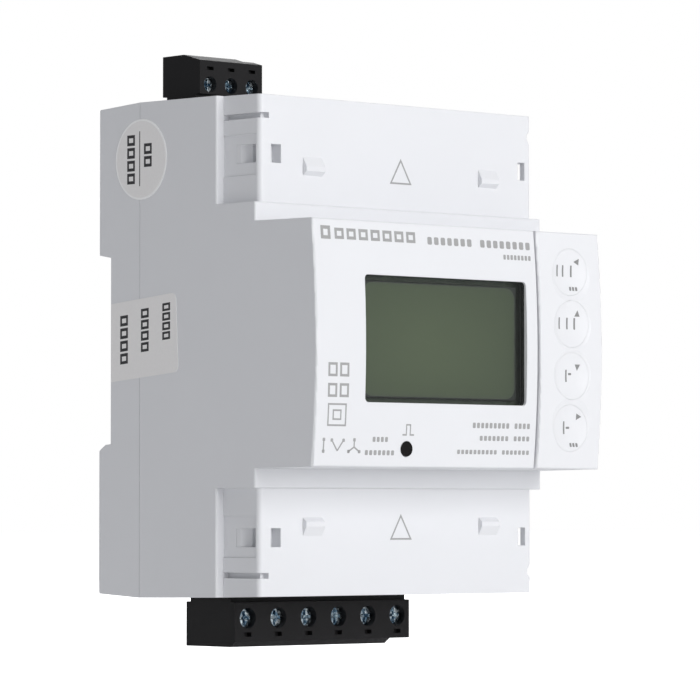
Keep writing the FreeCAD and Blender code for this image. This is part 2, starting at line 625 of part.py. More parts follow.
def boards():
    spots = [(f"{side} * boss_place", f"{end} * boss_high") for side in SIGNS for end in SIGNS]
    slab = box("main_slab", "-main_half_width", "main_half_width", MAIN_BACK, "main_front",
               "-main_half_height", "main_half_height")
    cuts = [rod(f"main_hole_{i}", *at, "main_front - 3", "main_front + 1",
                "screw_radius + pilot_gap") for i, at in enumerate(spots)]
    cuts += [pin_hole(kind, end, i) for kind, end in CONNECTORS for i in range(poles(kind))]
    node(minus("main_board", slab, join("main_cuts", "MultiFuse", cuts)), "main_board")
    screws("main_board_screws", spots, "main_front",
           (f"{MAIN_BACK} - screw_long + 1", "main_front + 0.5"),
           ("main_front", "main_front + head_high"))
    posts = [(across, f"{end} * post_high") for across in ("-post_left", "post_right")
             for end in SIGNS]
    back = "(display_front - board_thick)"
    slab = box("display_slab", f"-{INNER} + board_edge + 1.6", f"{INNER} - board_edge", back,
               "display_front", "-display_half", "display_half")
    cuts = [rod(f"display_hole_{i}", *at, f"{back} - 1", "display_front + 1",
                "screw_radius + pilot_gap") for i, at in enumerate(posts)]
    node(minus("display_board", slab, join("display_cuts", "MultiFuse", cuts)), "display_board")
    screws("display_board_screws", posts, back, (f"{back} - 0.5", "display_front + 4"),
           (f"{back} - head_high", back))
    # a riser joins the two boards through two edge connectors
    node(box("riser_board", "riser_place - board_thick", "riser_place",
             "main_front + part_gap", f"{back} - part_gap", "-riser_half", "riser_half"),
         "riser_board")
    inside = "riser_place - board_thick - part_gap"
    links = [box(f"link_{i}", f"{inside} - link_size", inside, *span, "-link_half",
                 "link_half") for i, span in enumerate(
                     (("main_front", "main_front + link_size"),
                      (f"{back} - link_size", back)))]
    node(join("board_links", "Compound", links), "board_links")


def components():
    """Main parts on the boards; each stands on the board's face."""
    node(box("metering_chip", "3", "13", "main_front", "main_front + 1.5", "-20", "-10"),
         "metering_chip")
    back = "(display_front - board_thick)"
    node(box("processor_chip", "-10", "0", f"{back} - 1.4", back, "-5", "5"), "processor_chip")
    core = box("core_block", "-12", "8", "main_front", "main_front + 17", "2", "24")
    cut = join("core_windows", "MultiFuse", [
        box(f"core_window_{i}", left, right, "main_front - 1", "main_front + 18", "6", "20")
        for i, (left, right) in enumerate((("-8.5", "-4.7"), ("0.7", "4.5")))])
    node(minus("transformer_core", core, cut), "transformer_core")
    coil = box("coil_block", "-8.4", "4.4", "main_front + 0.2", "main_front + 16.8", "6.15",
               "19.85")
    bore = box("coil_bore", "-4.8", "0.8", "main_front - 1", "main_front + 18", "5", "21")
    node(minus("transformer_winding", coil, bore), "transformer_winding")
    node(join("supply_capacitors", "Compound", [
        rod("capacitor_left", "-22", "4", "main_front", "main_front + 18", "5"),
        rod("capacitor_right", "-22", "-9", "main_front", "main_front + 14", "4")]),
        "supply_capacitors")
    node(rod("backup_cell", "17", "28", "main_front", "main_front + 3.2", "6.2"), "backup_cell")


# ---------------------------------------------------------------- pluggable connectors
CONNECTORS = (("top", 1), ("low", -1))


def poles(kind):
    return round(value(f"{kind}_poles"))


def pole_at(kind, i):
    return f"(-{kind}_first + {i} * {kind}_pitch)"


def plug_sides(kind):
    """The plug's two ends along X."""
    return f"-{kind}_left", ("-top_right" if kind == "top" else "low_right")


def terminal(kind):
    """Depths, as front distances, of what is inside one pole of a plug."""
    cage_rear = "chamber_rear + 0.1"
    window_rear = f"({cage_rear} + {kind}_cage_rear)"
    window_front = f"({window_rear} + {kind}_window)"
    cage_front = f"({window_front} + {kind}_cage_front)"
    chamber_front = f"({cage_front} + {kind}_lift + 0.1)"
    bar_front = f"({window_front} - 0.12)"
    bar_rear = f"({bar_front} - {kind}_bar)"
    pin_rear = f"({bar_front} + pin_play)"
    pin_front = f"({pin_rear} + {kind}_pin)"
    blade_rear = f"({pin_front} + pin_play)"
    return dict(cage_rear=f"({cage_rear})", window_rear=window_rear, window_front=window_front,
                cage_front=cage_front, chamber_front=chamber_front, bar_rear=bar_rear,
                bar_front=bar_front, pin_rear=pin_rear, pin_front=pin_front,
                blade_rear=blade_rear, blade_front=f"({blade_rear} + {kind}_bar)",
                head_front=f"({kind}_front - head_sink)",
                neck_front=f"({chamber_front} + 0.6)")


def flip(end, *heights):
    """Heights mirrored to the lower side when end is -1, lowest first."""
    return sorted((f"{end} * ({z})" for z in heights), key=value)


def plug(kind, end):
    part = Piece(f"{kind}_plug")
    left, right = plug_sides(kind)
    depth = terminal(kind)
    part.add("YZ", left, right, poly(
        (f"-{kind}_rear", f"{end} * {kind}_shoulder"), (f"-{kind}_rear", f"{end} * {kind}_crown"),
        (f"-{kind}_facet_back", f"{end} * {kind}_crown"),
        (f"-{kind}_front", f"{end} * {kind}_facet_low"),
        (f"-{kind}_front", f"{end} * {kind}_shoulder")))
    part.add("YZ", left, right, rect(
        f"-{kind}_insert_front", flip(end, "insert_end", f"{kind}_shoulder + 0.5")[0],
        f"-{kind}_insert_rear", flip(end, "insert_end", f"{kind}_shoulder + 0.5")[1]))
    low, high = flip(end, f"{kind}_crown - {kind}_lip", f"{kind}_crown + 1")
    part.cut("XY", low, high, rect(f"-{kind}_lip_end", f"-{kind}_front - 1", right,
                                   f"-{kind}_rear + 1"))
    first = pole_at(kind, 0)
    axis = f"{end} * {kind}_axis"
    wide, tall = f"({kind}_cage_wide / 2 + 0.12)", f"({kind}_cage_high / 2 + 0.12)"
    steps = [
        part.cut("XZ", depth["neck_front"], f"{kind}_front + 1",
                 ring(first, axis, f"{kind}_hole")),
        part.cut("XZ", f"{depth['chamber_front']} - 0.5", f"{depth['neck_front']} + 0.1",
                 ring(first, axis, f"{kind}_shank + 0.1")),
        part.cut("XZ", "chamber_rear", depth["chamber_front"], rect(
            f"{first} - {wide}", f"{axis} - {tall}", f"{first} + {wide}", f"{axis} + {tall}")),
    ]
    low, high = flip(end, f"{kind}_axis", f"{kind}_crown + 1")
    steps.append(part.cut("XY", low, high, rect(
        f"{first} - {kind}_entry / 2", f"-{depth['bar_rear']} + 0.05",
        f"{first} + {kind}_entry / 2", f"-{depth['window_rear']} + 0.1")))
    low, high = flip(end, "insert_end - 1", f"{kind}_axis")
    steps.append(part.cut("XY", low, high, rect(
        f"{first} - {kind}_pin / 2 - 0.5", f"-{depth['blade_front']} - 0.12",
        f"{first} + {kind}_pin / 2 + 0.5", f"-{depth['bar_rear']} + 0.12")))
    slot = flip(end, f"{kind}_slot_at - {kind}_slot_high / 2",
                f"{kind}_slot_at + {kind}_slot_high / 2")
    steps.append(part.cut("XZ", f"{kind}_front - 1.2", f"{kind}_front + 1", rect(
        f"{first} - {kind}_slot_wide / 2", slot[0], f"{first} + {kind}_slot_wide / 2", slot[1])))
    part.repeat(steps, f"{kind}_pitch", f"{kind}_poles")
    node(part)


def plug_contacts(kind, end):
    depth = terminal(kind)
    whole = []
    for i in range(poles(kind)):
        at = pole_at(kind, i)
        sides = (f"{at} - {kind}_pin / 2 - 0.35", f"{at} + {kind}_pin / 2 + 0.35")
        reach = flip(end, "contact_end", f"{kind}_axis + {kind}_cage_high / 2")
        grip = flip(end, "contact_end", "bridge_at + 0.6")
        bridge = flip(end, "bridge_at", "bridge_at + 0.6")
        parts = [
            box(f"{kind}_bar_{i}", *sides, depth["bar_rear"], depth["bar_front"], *reach),
            box(f"{kind}_blade_{i}", *sides, depth["blade_rear"], depth["blade_front"], *grip),
            box(f"{kind}_bridge_{i}", *sides, depth["bar_rear"], depth["blade_front"], *bridge)]
        whole.append(join(f"{kind}_contact_{i}", "MultiFuse", parts))
    node(join(f"{kind}_plug_contacts", "Compound", whole), f"{kind}_plug_contacts")


def clamp_screw(kind, end, i):
    """A captive screw with a crossed recess in its head."""
    depth = terminal(kind)
    at, axis = pole_at(kind, i), f"{end} * {kind}_axis"
    label = f"{kind}_clamp_screw_{i + 1}"
    head_back = f"({depth['neck_front']} + 0.05)"
    shank = rod(f"{label}_shank", at, axis, depth["window_front"], f"{head_back} + 0.2",
                f"{kind}_shank")
    head = rod(f"{label}_head", at, axis, head_back, depth["head_front"], f"{kind}_head")
    bars = []
    for across, up in (("0.75", "0.17"), ("0.17", "0.75")):
        bars.append(box(f"{label}_cross_{across[2:]}", f"{at} - {across} * {kind}_head",
                        f"{at} + {across} * {kind}_head", f"{depth['head_front']} - 0.9",
                        f"{depth['head_front']} + 1", f"{axis} - {up} * {kind}_head",
                        f"{axis} + {up} * {kind}_head"))
    solid = join(f"{label}_solid", "MultiFuse", [shank, head])
    node(minus(label, solid, join(f"{label}_recess", "MultiFuse", bars)), label)


def clamp_cage(kind, end, i):
    """The rising cage; the screw passes its front wall and the wire its window."""
    depth = terminal(kind)
    at, axis = pole_at(kind, i), f"{end} * {kind}_axis"
    label = f"{kind}_clamp_{i + 1}"
    side = f"{kind}_cage_wide / 2"
    block = box(f"{label}_block", f"{at} - {side}", f"{at} + {side}", depth["cage_rear"],
                depth["cage_front"], f"{axis} - {kind}_cage_high / 2",
                f"{axis} + {kind}_cage_high / 2")
    window = box(f"{label}_window", f"{at} - {side} + 0.5", f"{at} + {side} - 0.5",
                 depth["window_rear"], depth["window_front"], f"{axis} - 9", f"{axis} + 9")
    thread = rod(f"{label}_thread", at, axis, f"{depth['window_front']} - 0.5",
                 f"{depth['cage_front']} + 1", f"{kind}_shank + 0.06")
    node(minus(label, block, join(f"{label}_cuts", "MultiFuse", [window, thread])), label)


def header_box(kind, end, name, grow, low, high):
    """A block round the plug's insert, larger by grow on each side."""
    left, right = plug_sides(kind)
    return box(name, f"{left} - ({grow})", f"{right} + ({grow})",
               f"{kind}_insert_rear - ({grow})", f"{kind}_insert_front + ({grow})",
               *flip(end, low, high))


def pin_sides(kind, i):
    return f"{pole_at(kind, i)} - {kind}_pin / 2", f"{pole_at(kind, i)} + {kind}_pin / 2"


def pin_hole(kind, end, i):
    left, right = pin_sides(kind, i)
    return box(f"{kind}_board_hole_{i}", f"{left} - 0.1", f"{right} + 0.1", "main_front - 3",
               "main_front + 1", *flip(end, "pin_foot - 0.1", f"pin_foot + {kind}_pin + 0.1"))


def header(kind, end):
    shell = header_box(kind, end, f"{kind}_shell", "plug_clear + shroud_wall",
                       "header_end", "header_rim")
    hollow = header_box(kind, end, f"{kind}_hollow", "plug_clear", "insert_end - 0.3",
                        "header_rim + 1")
    depth = terminal(kind)
    slots = []
    for i in range(poles(kind)):
        left, right = pin_sides(kind, i)
        slots.append(box(f"{kind}_pin_slot_{i}", left, right, depth["pin_rear"],
                         depth["pin_front"], *flip(end, "header_end - 1", "insert_end + 1")))
    cuts = join(f"{kind}_header_cuts", "MultiFuse", [hollow] + slots)
    node(minus(f"{kind}_header", shell, cuts), f"{kind}_header")
    pins = []
    for i in range(poles(kind)):
        left, right = pin_sides(kind, i)
        post = box(f"{kind}_post_{i}", left, right, depth["pin_rear"], depth["pin_front"],
                   *flip(end, "pin_foot", "pin_tip"))
        foot = box(f"{kind}_foot_{i}", left, right, f"{MAIN_BACK} - 0.8", depth["pin_front"],
                   *flip(end, "pin_foot", f"pin_foot + {kind}_pin"))
        pins.append(join(f"{kind}_pin_{i}", "MultiFuse", [post, foot]))
    node(join(f"{kind}_header_pins", "Compound", pins), f"{kind}_header_pins")


# ---------------------------------------------------------------- rail latch
def rail_latch():
    part = Piece("rail_latch")
    half, bottom = "latch_width / 2", "(-rear_half + 0.2)"
    part.add("XZ", "-latch_deep", "latch_front",
             rect(f"-{half}", bottom, half, "-seat_half - 0.2"))
    part.add("XZ", "-latch_front - shoulder_deep + fit_gap", "latch_front",
             rect(f"-{half} - latch_shoulder", f"{bottom} + 4",
                  f"{half} + latch_shoulder", "-seat_half - 1"))
    nose = "(rail_thick + rail_play)"
    part.add("YZ", f"-{half}", half, poly(
        (nose, "-seat_half - 0.5"), (nose, "-seat_half + hook_reach"),
        (f"{nose} + 0.8", "-seat_half + hook_reach"), ("latch_deep", "-seat_half - 0.4"),
        ("latch_deep", "-seat_half - 0.5")))
    pocket = "(spring_radius + spring_wire)"
    part.cut("XZ", "-latch_deep + 0.7", "latch_front + 1", rect(
        f"-{pocket} - 0.2", "-stop_place - stop_height - fit_gap", f"{pocket} + 0.2",
        "-stop_place + spring_length + fit_gap"))
    part.cut("XZ", "-latch_deep - 1", "-latch_deep + 1.4", rect(
        "-tool_slot_width / 2", f"{bottom} + 1.2", "tool_slot_width / 2",
        f"{bottom} + 1.2 + tool_slot_high"))
    node(part)
    # the return spring, between the latch and a stop in the base
    spring = Piece("latch_spring")
    depth = "(latch_deep - 0.7 - spring_radius - spring_wire / 2 - 0.15)"
    loop = spring.sketch("XZ", f"-{depth}", [
        ring("spring_radius", "-stop_place + spring_wire / 2 + 0.1", "spring_wire / 2")])
    helix = spring.body.newObject("PartDesign::AdditiveHelix", "latch_spring_coil")
    helix.Profile = loop
    helix.ReferenceAxis = (loop, ["V_Axis"])
    helix.Mode = "height-turns-angle"
    bind(helix, Height="spring_length - spring_wire - 0.2", Turns="spring_turns")
    node(spring)


# ---------------------------------------------------------------- labels
def labels():
    """Two paper labels on the left side: a round one and a seal that ends at the rail edge."""
    wall_face = f"-{HALF}"
    disc = doc.addObject("Part::Cylinder", "round_label")
    disc.Placement = FreeCAD.Placement(V(), FreeCAD.Rotation(V(0, 1, 0), -90))
    bind(disc, Radius="round_label_radius", Height="label_thick", Placement__Base__x=wall_face,
         Placement__Base__y="-round_label_front", Placement__Base__z="seal_place")
    node(disc, "round_label")
    paper = Piece("seal_label")
    paper.add("YZ", f"{wall_face} - label_thick", wall_face, poly(
        ("-seal_back", "seal_bottom"), ("-seal_front", "seal_bottom + seal_rise"),
        ("-seal_front + seal_lean", "seal_top + seal_rise"), ("-seal_back", "seal_top")))
    back = value("seal_back")
    paper.round("seal_round", lambda e: along(e, 0) and middle(e).y < -back - 1)
    node(paper)


# ---------------------------------------------------------------- build, check and write
rear_base()
front_housing()
keypad()
display()
boards()
components()
for kind, end in CONNECTORS:
    plug(kind, end)
    plug_contacts(kind, end)
    for i in range(poles(kind)):
        clamp_screw(kind, end, i)
        clamp_cage(kind, end, i)
    header(kind, end)
rail_latch()
labels()

doc.recompute()
faults = [f"{thing.Label}: {thing.State}" for thing in doc.Objects
          if "Invalid" in thing.State or "Error" in thing.State]
for thing in NODES:
    shape = thing.Shape
    if shape.isNull() or not shape.isValid() or not shape.Solids:
        faults.append(f"{thing.Label}: no valid solid")
if faults:
    raise SystemExit("\n".join(faults))

os.makedirs("parts", exist_ok=True)
for thing in NODES:
    thing.Shape.exportStep(f"parts/{thing.Label}.step")
    size = thing.Shape.BoundBox
    print(f"{thing.Label}: {len(thing.Shape.Solids)} solid(s), {thing.Shape.Volume:.1f} mm3, "
          f"x {size.XMin:.2f} {size.XMax:.2f} y {size.YMin:.2f} {size.YMax:.2f} "
          f"z {size.ZMin:.2f} {size.ZMax:.2f}")
print(len(NODES), "nodes")
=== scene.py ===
# %% [markdown]
# # An electricity meter for a mounting rail
#
# The real object is a white moulded case, four module widths wide, that clips on a rail. A
# raised block carries a grey display behind a clear window, a pulse lamp and four dished keys.
# A black plug with clamp screws sits in the top wall and a wider one in the bottom wall.
#
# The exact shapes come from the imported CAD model, which stays fixed. What is left for Blender
# is how each surface looks, the printing on the case, and the studio round it.

# %% Load the fixed frame
import json
import math

import bmesh
import bpy
from mathutils import Matrix, Vector
from mathutils.bvhtree import BVHTree


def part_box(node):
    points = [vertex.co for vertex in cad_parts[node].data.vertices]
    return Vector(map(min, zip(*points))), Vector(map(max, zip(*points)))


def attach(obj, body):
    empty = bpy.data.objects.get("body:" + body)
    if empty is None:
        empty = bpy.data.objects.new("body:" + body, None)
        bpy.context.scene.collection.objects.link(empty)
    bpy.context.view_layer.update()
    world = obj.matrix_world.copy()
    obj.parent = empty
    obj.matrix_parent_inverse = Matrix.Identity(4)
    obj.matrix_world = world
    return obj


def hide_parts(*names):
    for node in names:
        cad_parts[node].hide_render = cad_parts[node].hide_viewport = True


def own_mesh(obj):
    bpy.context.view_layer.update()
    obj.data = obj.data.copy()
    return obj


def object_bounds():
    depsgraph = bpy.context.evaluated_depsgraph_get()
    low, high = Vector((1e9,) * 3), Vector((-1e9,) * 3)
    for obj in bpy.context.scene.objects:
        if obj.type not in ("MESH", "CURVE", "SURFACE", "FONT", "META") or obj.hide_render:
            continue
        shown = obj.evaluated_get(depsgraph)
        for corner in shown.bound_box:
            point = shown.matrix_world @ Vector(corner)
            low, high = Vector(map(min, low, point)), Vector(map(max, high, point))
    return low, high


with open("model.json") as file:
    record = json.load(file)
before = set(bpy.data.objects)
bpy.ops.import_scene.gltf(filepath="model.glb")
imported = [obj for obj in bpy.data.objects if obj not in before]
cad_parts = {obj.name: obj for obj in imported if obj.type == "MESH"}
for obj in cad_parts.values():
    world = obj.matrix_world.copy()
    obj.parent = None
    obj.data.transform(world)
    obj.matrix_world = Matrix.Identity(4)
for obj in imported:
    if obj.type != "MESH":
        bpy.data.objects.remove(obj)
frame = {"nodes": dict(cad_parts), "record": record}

CAD_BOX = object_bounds()
NODES = frame["nodes"]
SLOT_OF = {part["node"]: part["material_slot"] for part in frame["record"]["subparts"]}
MM = 0.001

# %% [markdown]
# ## The camera
#
# A camera is a position, a direction and a focal length. A long lens, well back from a small
# object, keeps its edges nearly parallel, as in a catalogue view. The meter is seen from its
# front left side, from a little below the middle.

# %% Place the camera
CAMERA_PLACE = Vector((-0.53405, -0.62825, -0.03072))
CAMERA_TURN = math.radians(-41.626)
CAMERA_RISE = math.radians(2.21)
CAMERA_LENS = 218.7

camera_data = bpy.data.cameras.new("camera")
camera_data.lens = CAMERA_LENS
camera_data.sensor_width = 36.0
camera_data.clip_start = 0.01
camera_data.clip_end = 50.0
camera = bpy.data.objects.new("camera", camera_data)
bpy.context.scene.collection.objects.link(camera)
sight = Vector((-math.sin(CAMERA_TURN) * math.cos(CAMERA_RISE),
                math.cos(CAMERA_TURN) * math.cos(CAMERA_RISE),
                math.sin(CAMERA_RISE)))
camera.location = CAMERA_PLACE
camera.rotation_euler = sight.to_track_quat("-Z", "Y").to_euler()
bpy.context.scene.camera = camera
bpy.context.scene.view_settings.view_transform = "Standard"
print("camera", round(CAMERA_PLACE.length, 3), "m from the rail seat")

# %% [markdown]
# ## Writing materials as sums
#
# A procedural material is a graph of small nodes. Linking them one by one hides the idea, so
# two helpers let the idea be written down. `Value` wraps one socket and turns +, -, * and / into
# Math nodes. `Finish` owns one material and makes any other node from its type, its settings
# and what goes into its sockets.

# %% Value and Finish
class Value:
    """One output socket, with arithmetic."""

    def __init__(self, finish, socket):
        self.finish = finish
        self.socket = socket

    def __add__(self, other):
        return self.finish.math("ADD", self, other)

    def __sub__(self, other):
        return self.finish.math("SUBTRACT", self, other)

    def __rsub__(self, other):
        return self.finish.math("SUBTRACT", other, self)

    def __mul__(self, other):
        return self.finish.math("MULTIPLY", self, other)

    def __truediv__(self, other):
        return self.finish.math("DIVIDE", self, other)

    __radd__ = __add__
    __rmul__ = __mul__


class Finish:
    """One material: a Principled BSDF and whatever drives it."""

    def __init__(self, name, **constants):
        self.material = bpy.data.materials.new(name)
        self.material.use_nodes = True
        self.tree = self.material.node_tree
        self.shader = self.tree.nodes["Principled BSDF"]
        for socket, value in constants.items():
            self.shader.inputs[socket.replace("_", " ")].default_value = value
        self.coordinates = self.node("ShaderNodeTexCoord", output="Object")

    def node(self, kind, output=0, settings=None, **inputs):
        """A node of this type: its settings first, then the values or links of its sockets.

        A socket is named with _ for each space, or as _ and its number.
        """
        made = self.tree.nodes.new(kind)
        for key, value in (settings or {}).items():
            setattr(made, key, value)
        for key, value in inputs.items():
            socket = int(key[1:]) if key[0] == "_" else key.replace("_", " ")
            self.feed(made.inputs[socket], value)
        return Value(self, made.outputs[output])

    def feed(self, socket, value):
        """Link a Value, or set anything else as the socket's own number or colour."""
        if isinstance(value, Value):
            self.tree.links.new(value.socket, socket)
        else:
            socket.default_value = value

    def math(self, operation, first, second=0.0):
        """A Math node of one or two numbers."""
        return self.node("ShaderNodeMath", settings={"operation": operation},
                         _0=first, _1=second)

    def axis(self, letter):
        """The X, Y or Z of a point, in metres in the meter's frame."""
        return self.node("ShaderNodeSeparateXYZ", output=letter, Vector=self.coordinates)

    def noise(self, size, detail=2.0, stretch=None):
        """Noise from 0 to 1 whose lumps are about this many metres across."""
        place = self.coordinates
        if stretch:
            place = self.node("ShaderNodeMapping", Vector=place, Scale=stretch)
        return self.node("ShaderNodeTexNoise", Vector=place, Scale=1.0 / size, Detail=detail)

    def blend(self, share, first, second):
        """A colour between two, by a value from 0 to 1."""
        return self.node("ShaderNodeMix", output=2, settings={"data_type": "RGBA"},
                         _0=share, _6=first, _7=second)

    def between(self, value, low, high):
        """1 where low < value < high, else 0."""
        return self.math("GREATER_THAN", value, low) * self.math("LESS_THAN", value, high)

    def relief(self, height, depth, strength=1.0, normal=None):
        """Bump of a height from 0 to 1, as deep as this many metres."""
        inputs = {"Height": height, "Distance": depth, "Strength": strength}
        if normal:
            inputs["Normal"] = normal
        return self.node("ShaderNodeBump", **inputs)

    def worn_edges(self, radius):
        """A normal that turns over each sharp edge as if it had this radius."""
        return self.node("ShaderNodeBevel", settings={"samples": 4}, Radius=radius)

    def into(self, **sockets):
        """Feed the Principled BSDF and give back the finished material."""
        for socket, value in sockets.items():
            self.feed(self.shader.inputs[socket.replace("_", " ")], value)
        return self.material


def grey(level):
    return (level, level, level, 1.0)


FINISHES = {}
print("helpers for materials are ready")

# %% [markdown]
# ## White moulded plastic
#
# The case is a flame-retardant polymer with a fine spark-eroded skin. Three things make it
# plastic and not plaster: a slightly cool white, a soft and uneven gloss, and a very fine grain
# that only shows where light grazes it. The edges of a moulding are never quite sharp, so a
# Bevel node bends the normals there and each edge catches a thin highlight.

# %% Mix the white plastics
CLOUD_SHADE = 0.972


def moulded_white(name, tint, gloss, grain, edge):
    """White plastic with a grain and a soft edge, both in metres."""
    finish = Finish(name, Specular_IOR_Level=0.42)
    clouds = finish.noise(18 * MM, 3.0)
    skin = finish.noise(grain, 2.0)
    shade = tuple(CLOUD_SHADE * part for part in tint[:3]) + (1.0,)
    return finish.into(
        Base_Color=finish.blend(clouds, tint, shade),
        Roughness=gloss + finish.noise(6 * MM, 2.0) * 0.08,
        Normal=finish.relief(skin, 0.012 * MM, 0.6, finish.worn_edges(edge)))


HOUSING_TINT = (0.80, 0.806, 0.83, 1.0)
PANEL_TINT = (0.815, 0.82, 0.842, 1.0)
LATCH_TINT = (0.76, 0.765, 0.79, 1.0)
for name, tint, gloss, grain, edge in (
        ("housing_white", HOUSING_TINT, 0.40, 0.22 * MM, 0.18 * MM),
        ("keypad_white", PANEL_TINT, 0.36, 0.16 * MM, 0.03 * MM),
        ("latch_white", LATCH_TINT, 0.38, 0.2 * MM, 0.15 * MM)):
    FINISHES[name] = moulded_white(name, tint, gloss, grain, edge)
print("white plastics:", len(FINISHES))

# %% [markdown]
# ## The display
#
# A switched-off liquid-crystal panel is a grey-green polariser behind glass. Here it isn't one
# flat grey: a patch a little below and left of the middle is painted lighter, and the rest fades
# to painted shade towards the border, as light falls into the recessed display. The polariser
# has a faint grain. The painted light and the border are sums of the distance from the middle
# and from the rounded border, so they are worked out from Object coordinates and need no
# picture.

# %% Find where the painted light on the display falls and where its border is
PANEL_LOW, PANEL_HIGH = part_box("lcd_glass")
PANEL_MIDDLE = (PANEL_LOW + PANEL_HIGH) / 2
PANEL_SIZE = PANEL_HIGH - PANEL_LOW
# Painted light on the display: a lighter patch a little left of and below the middle, fading to
# painted shade towards the edges.
PAINTED_LIGHT_LEFT, PAINTED_LIGHT_DOWN = 0.08, 0.04
PAINTED_LIGHT_ROUND = 0.8
PAINTED_LIGHT_MOST, PAINTED_LIGHT_FALL = 1.05, 0.95
BORDER_WIDE = 0.7 * MM
BORDER_LINE = 0.2 * MM
FIELD_ROUND = 2.4 * MM

polariser = Finish("display_grey", Roughness=0.32, Specular_IOR_Level=0.4)
across = (polariser.axis("X") - PANEL_MIDDLE.x) / PANEL_SIZE.x
up = (polariser.axis("Z") - PANEL_MIDDLE.z) / PANEL_SIZE.z
painted_light_x = across + PAINTED_LIGHT_LEFT
painted_light_z = up + PAINTED_LIGHT_DOWN
spread = polariser.math("SQRT", painted_light_x * painted_light_x + painted_light_z * painted_light_z * PAINTED_LIGHT_ROUND)
painted_light = polariser.math("SMOOTH_MIN", PAINTED_LIGHT_MOST - spread * PAINTED_LIGHT_FALL, 1.0)
beyond_x = polariser.math("MAXIMUM", polariser.math(
    "ABSOLUTE", across * PANEL_SIZE.x) - (PANEL_SIZE.x / 2 - FIELD_ROUND), 0.0)
beyond_z = polariser.math("MAXIMUM", polariser.math(
    "ABSOLUTE", up * PANEL_SIZE.z) - (PANEL_SIZE.z / 2 - FIELD_ROUND), 0.0)
from_edge = FIELD_ROUND - polariser.math("SQRT", beyond_x * beyond_x + beyond_z * beyond_z)
border = polariser.math("LESS_THAN", from_edge, BORDER_LINE)
margin = polariser.math("SMOOTH_MIN", 1.0, from_edge / BORDER_WIDE)
print("display", [round(side / MM, 1) for side in PANEL_SIZE], "mm")

# %% Colour the display
# The display's colour in painted shade, in painted light, and at its edge.
FIELD_PAINTED_SHADE = (0.056, 0.070, 0.046, 1.0)
FIELD_PAINTED_LIGHT = (0.115, 0.138, 0.084, 1.0)
FIELD_EDGE = (0.09, 0.10, 0.08, 1.0)
field = polariser.blend(polariser.math("MAXIMUM", painted_light, 0.0), FIELD_PAINTED_SHADE, FIELD_PAINTED_LIGHT)
field = polariser.blend(polariser.math("MAXIMUM", margin, 0.0), FIELD_EDGE, field)
FINISHES["display_grey"] = polariser.into(
    Base_Color=polariser.blend(border, field, grey(0.03)),
    Normal=polariser.relief(polariser.noise(0.4 * MM, 2.0), 0.004 * MM, 0.3))
print("display_grey", len(polariser.tree.nodes), "nodes")

# %% [markdown]
# ### The clear window
#
# The window in front is a thin clear plate, so a mix of a transparent and a glossy shader says
# all that is needed: see-through face on, mirror-like at a glancing angle. Its share grows with
# the fifth power of the tilt, which is the same from both sides of the plate. The Fresnel node
# isn't, and would turn the inner side of the plate into a mirror, because the ray isn't bent.

# %% Mix the clear window
FACE_ON_MIRROR = 0.045
GRAZING_MIRROR = 0.9
TILT_POWER = 5.0
window = Finish("window_clear")
shine = window.node("ShaderNodeBsdfGlossy", Color=grey(0.9), Roughness=0.05)
clear = window.node("ShaderNodeBsdfTransparent", Color=(0.93, 0.95, 0.93, 1.0))
ripple = window.relief(window.noise(20 * MM, 1.0), 0.004 * MM, 0.3)
tilt = window.node("ShaderNodeLayerWeight", output="Facing", Blend=0.5, Normal=ripple)
mirror = window.math("POWER", tilt, TILT_POWER) * GRAZING_MIRROR + FACE_ON_MIRROR
plate = window.node("ShaderNodeMixShader", Fac=mirror, _1=clear, _2=shine)
window.feed(window.tree.nodes["Material Output"].inputs["Surface"], plate)
window.tree.nodes.remove(window.shader)
FINISHES["window_clear"] = window.material
print("window_clear", len(window.tree.nodes), "nodes")

# %% [markdown]
# ## Dark plastics
#
# The connectors are a filled black nylon with a satin skin, rougher than the case and never
# fully black. A flat dark colour would look like a hole, so the colour is mottled a little, and
# the grain and the soft edges are those of the white plastic. One helper serves the connectors,
# the frame of the display, the chips and the smooth pulse lamp.

# %% Mix the dark plastics
MOTTLE_LIGHT = 1.5


def moulded_dark(name, tint, gloss, grain):
    """Dark plastic whose grain is this many metres across."""
    finish = Finish(name, Specular_IOR_Level=0.21)
    skin = finish.noise(grain, 2.0)
    lighter = tuple(MOTTLE_LIGHT * part for part in tint[:3]) + (1.0,)
    return finish.into(
        Base_Color=finish.blend(finish.noise(4 * MM, 3.0), tint, lighter),
        Roughness=gloss + finish.noise(2 * MM, 2.0) * 0.12,
        Normal=finish.relief(skin, 0.01 * MM, 0.7, finish.worn_edges(0.1 * MM)))


for name, tint, gloss, grain in (
        ("connector_black", (0.0062, 0.0058, 0.0064, 1), 0.45, 0.18 * MM),
        ("frame_black", (0.012, 0.012, 0.012, 1), 0.42, 0.15 * MM),
        ("display_frame", (0.058, 0.068, 0.054, 1), 0.5, 0.2 * MM),
        ("component_black", (0.02, 0.02, 0.022, 1), 0.5, 0.1 * MM),
        ("lamp_dark", (0.006, 0.005, 0.005, 1), 0.16, 0.4 * MM)):
    FINISHES[name] = moulded_dark(name, tint, gloss, grain)
print("finishes so far:", len(FINISHES))

# %% [markdown]
# ## Metals
#
# The clamp screws and cages are zinc-plated steel: a metal that is dark blue in some places and
# nearly white in others. Metallic is 1 and the base colour is the metal's own. Noise moves both
# the colour and the gloss, so that each colour has its own sharpness, and a finer noise
# stretched along one axis gives the drawn scratches. Narrowing the noise's range makes the
# patches stand out, as they do on the small screw heads.

# %% Mix the metals
SCRATCH_STRETCH = (1.0, 6.0, 1.0)


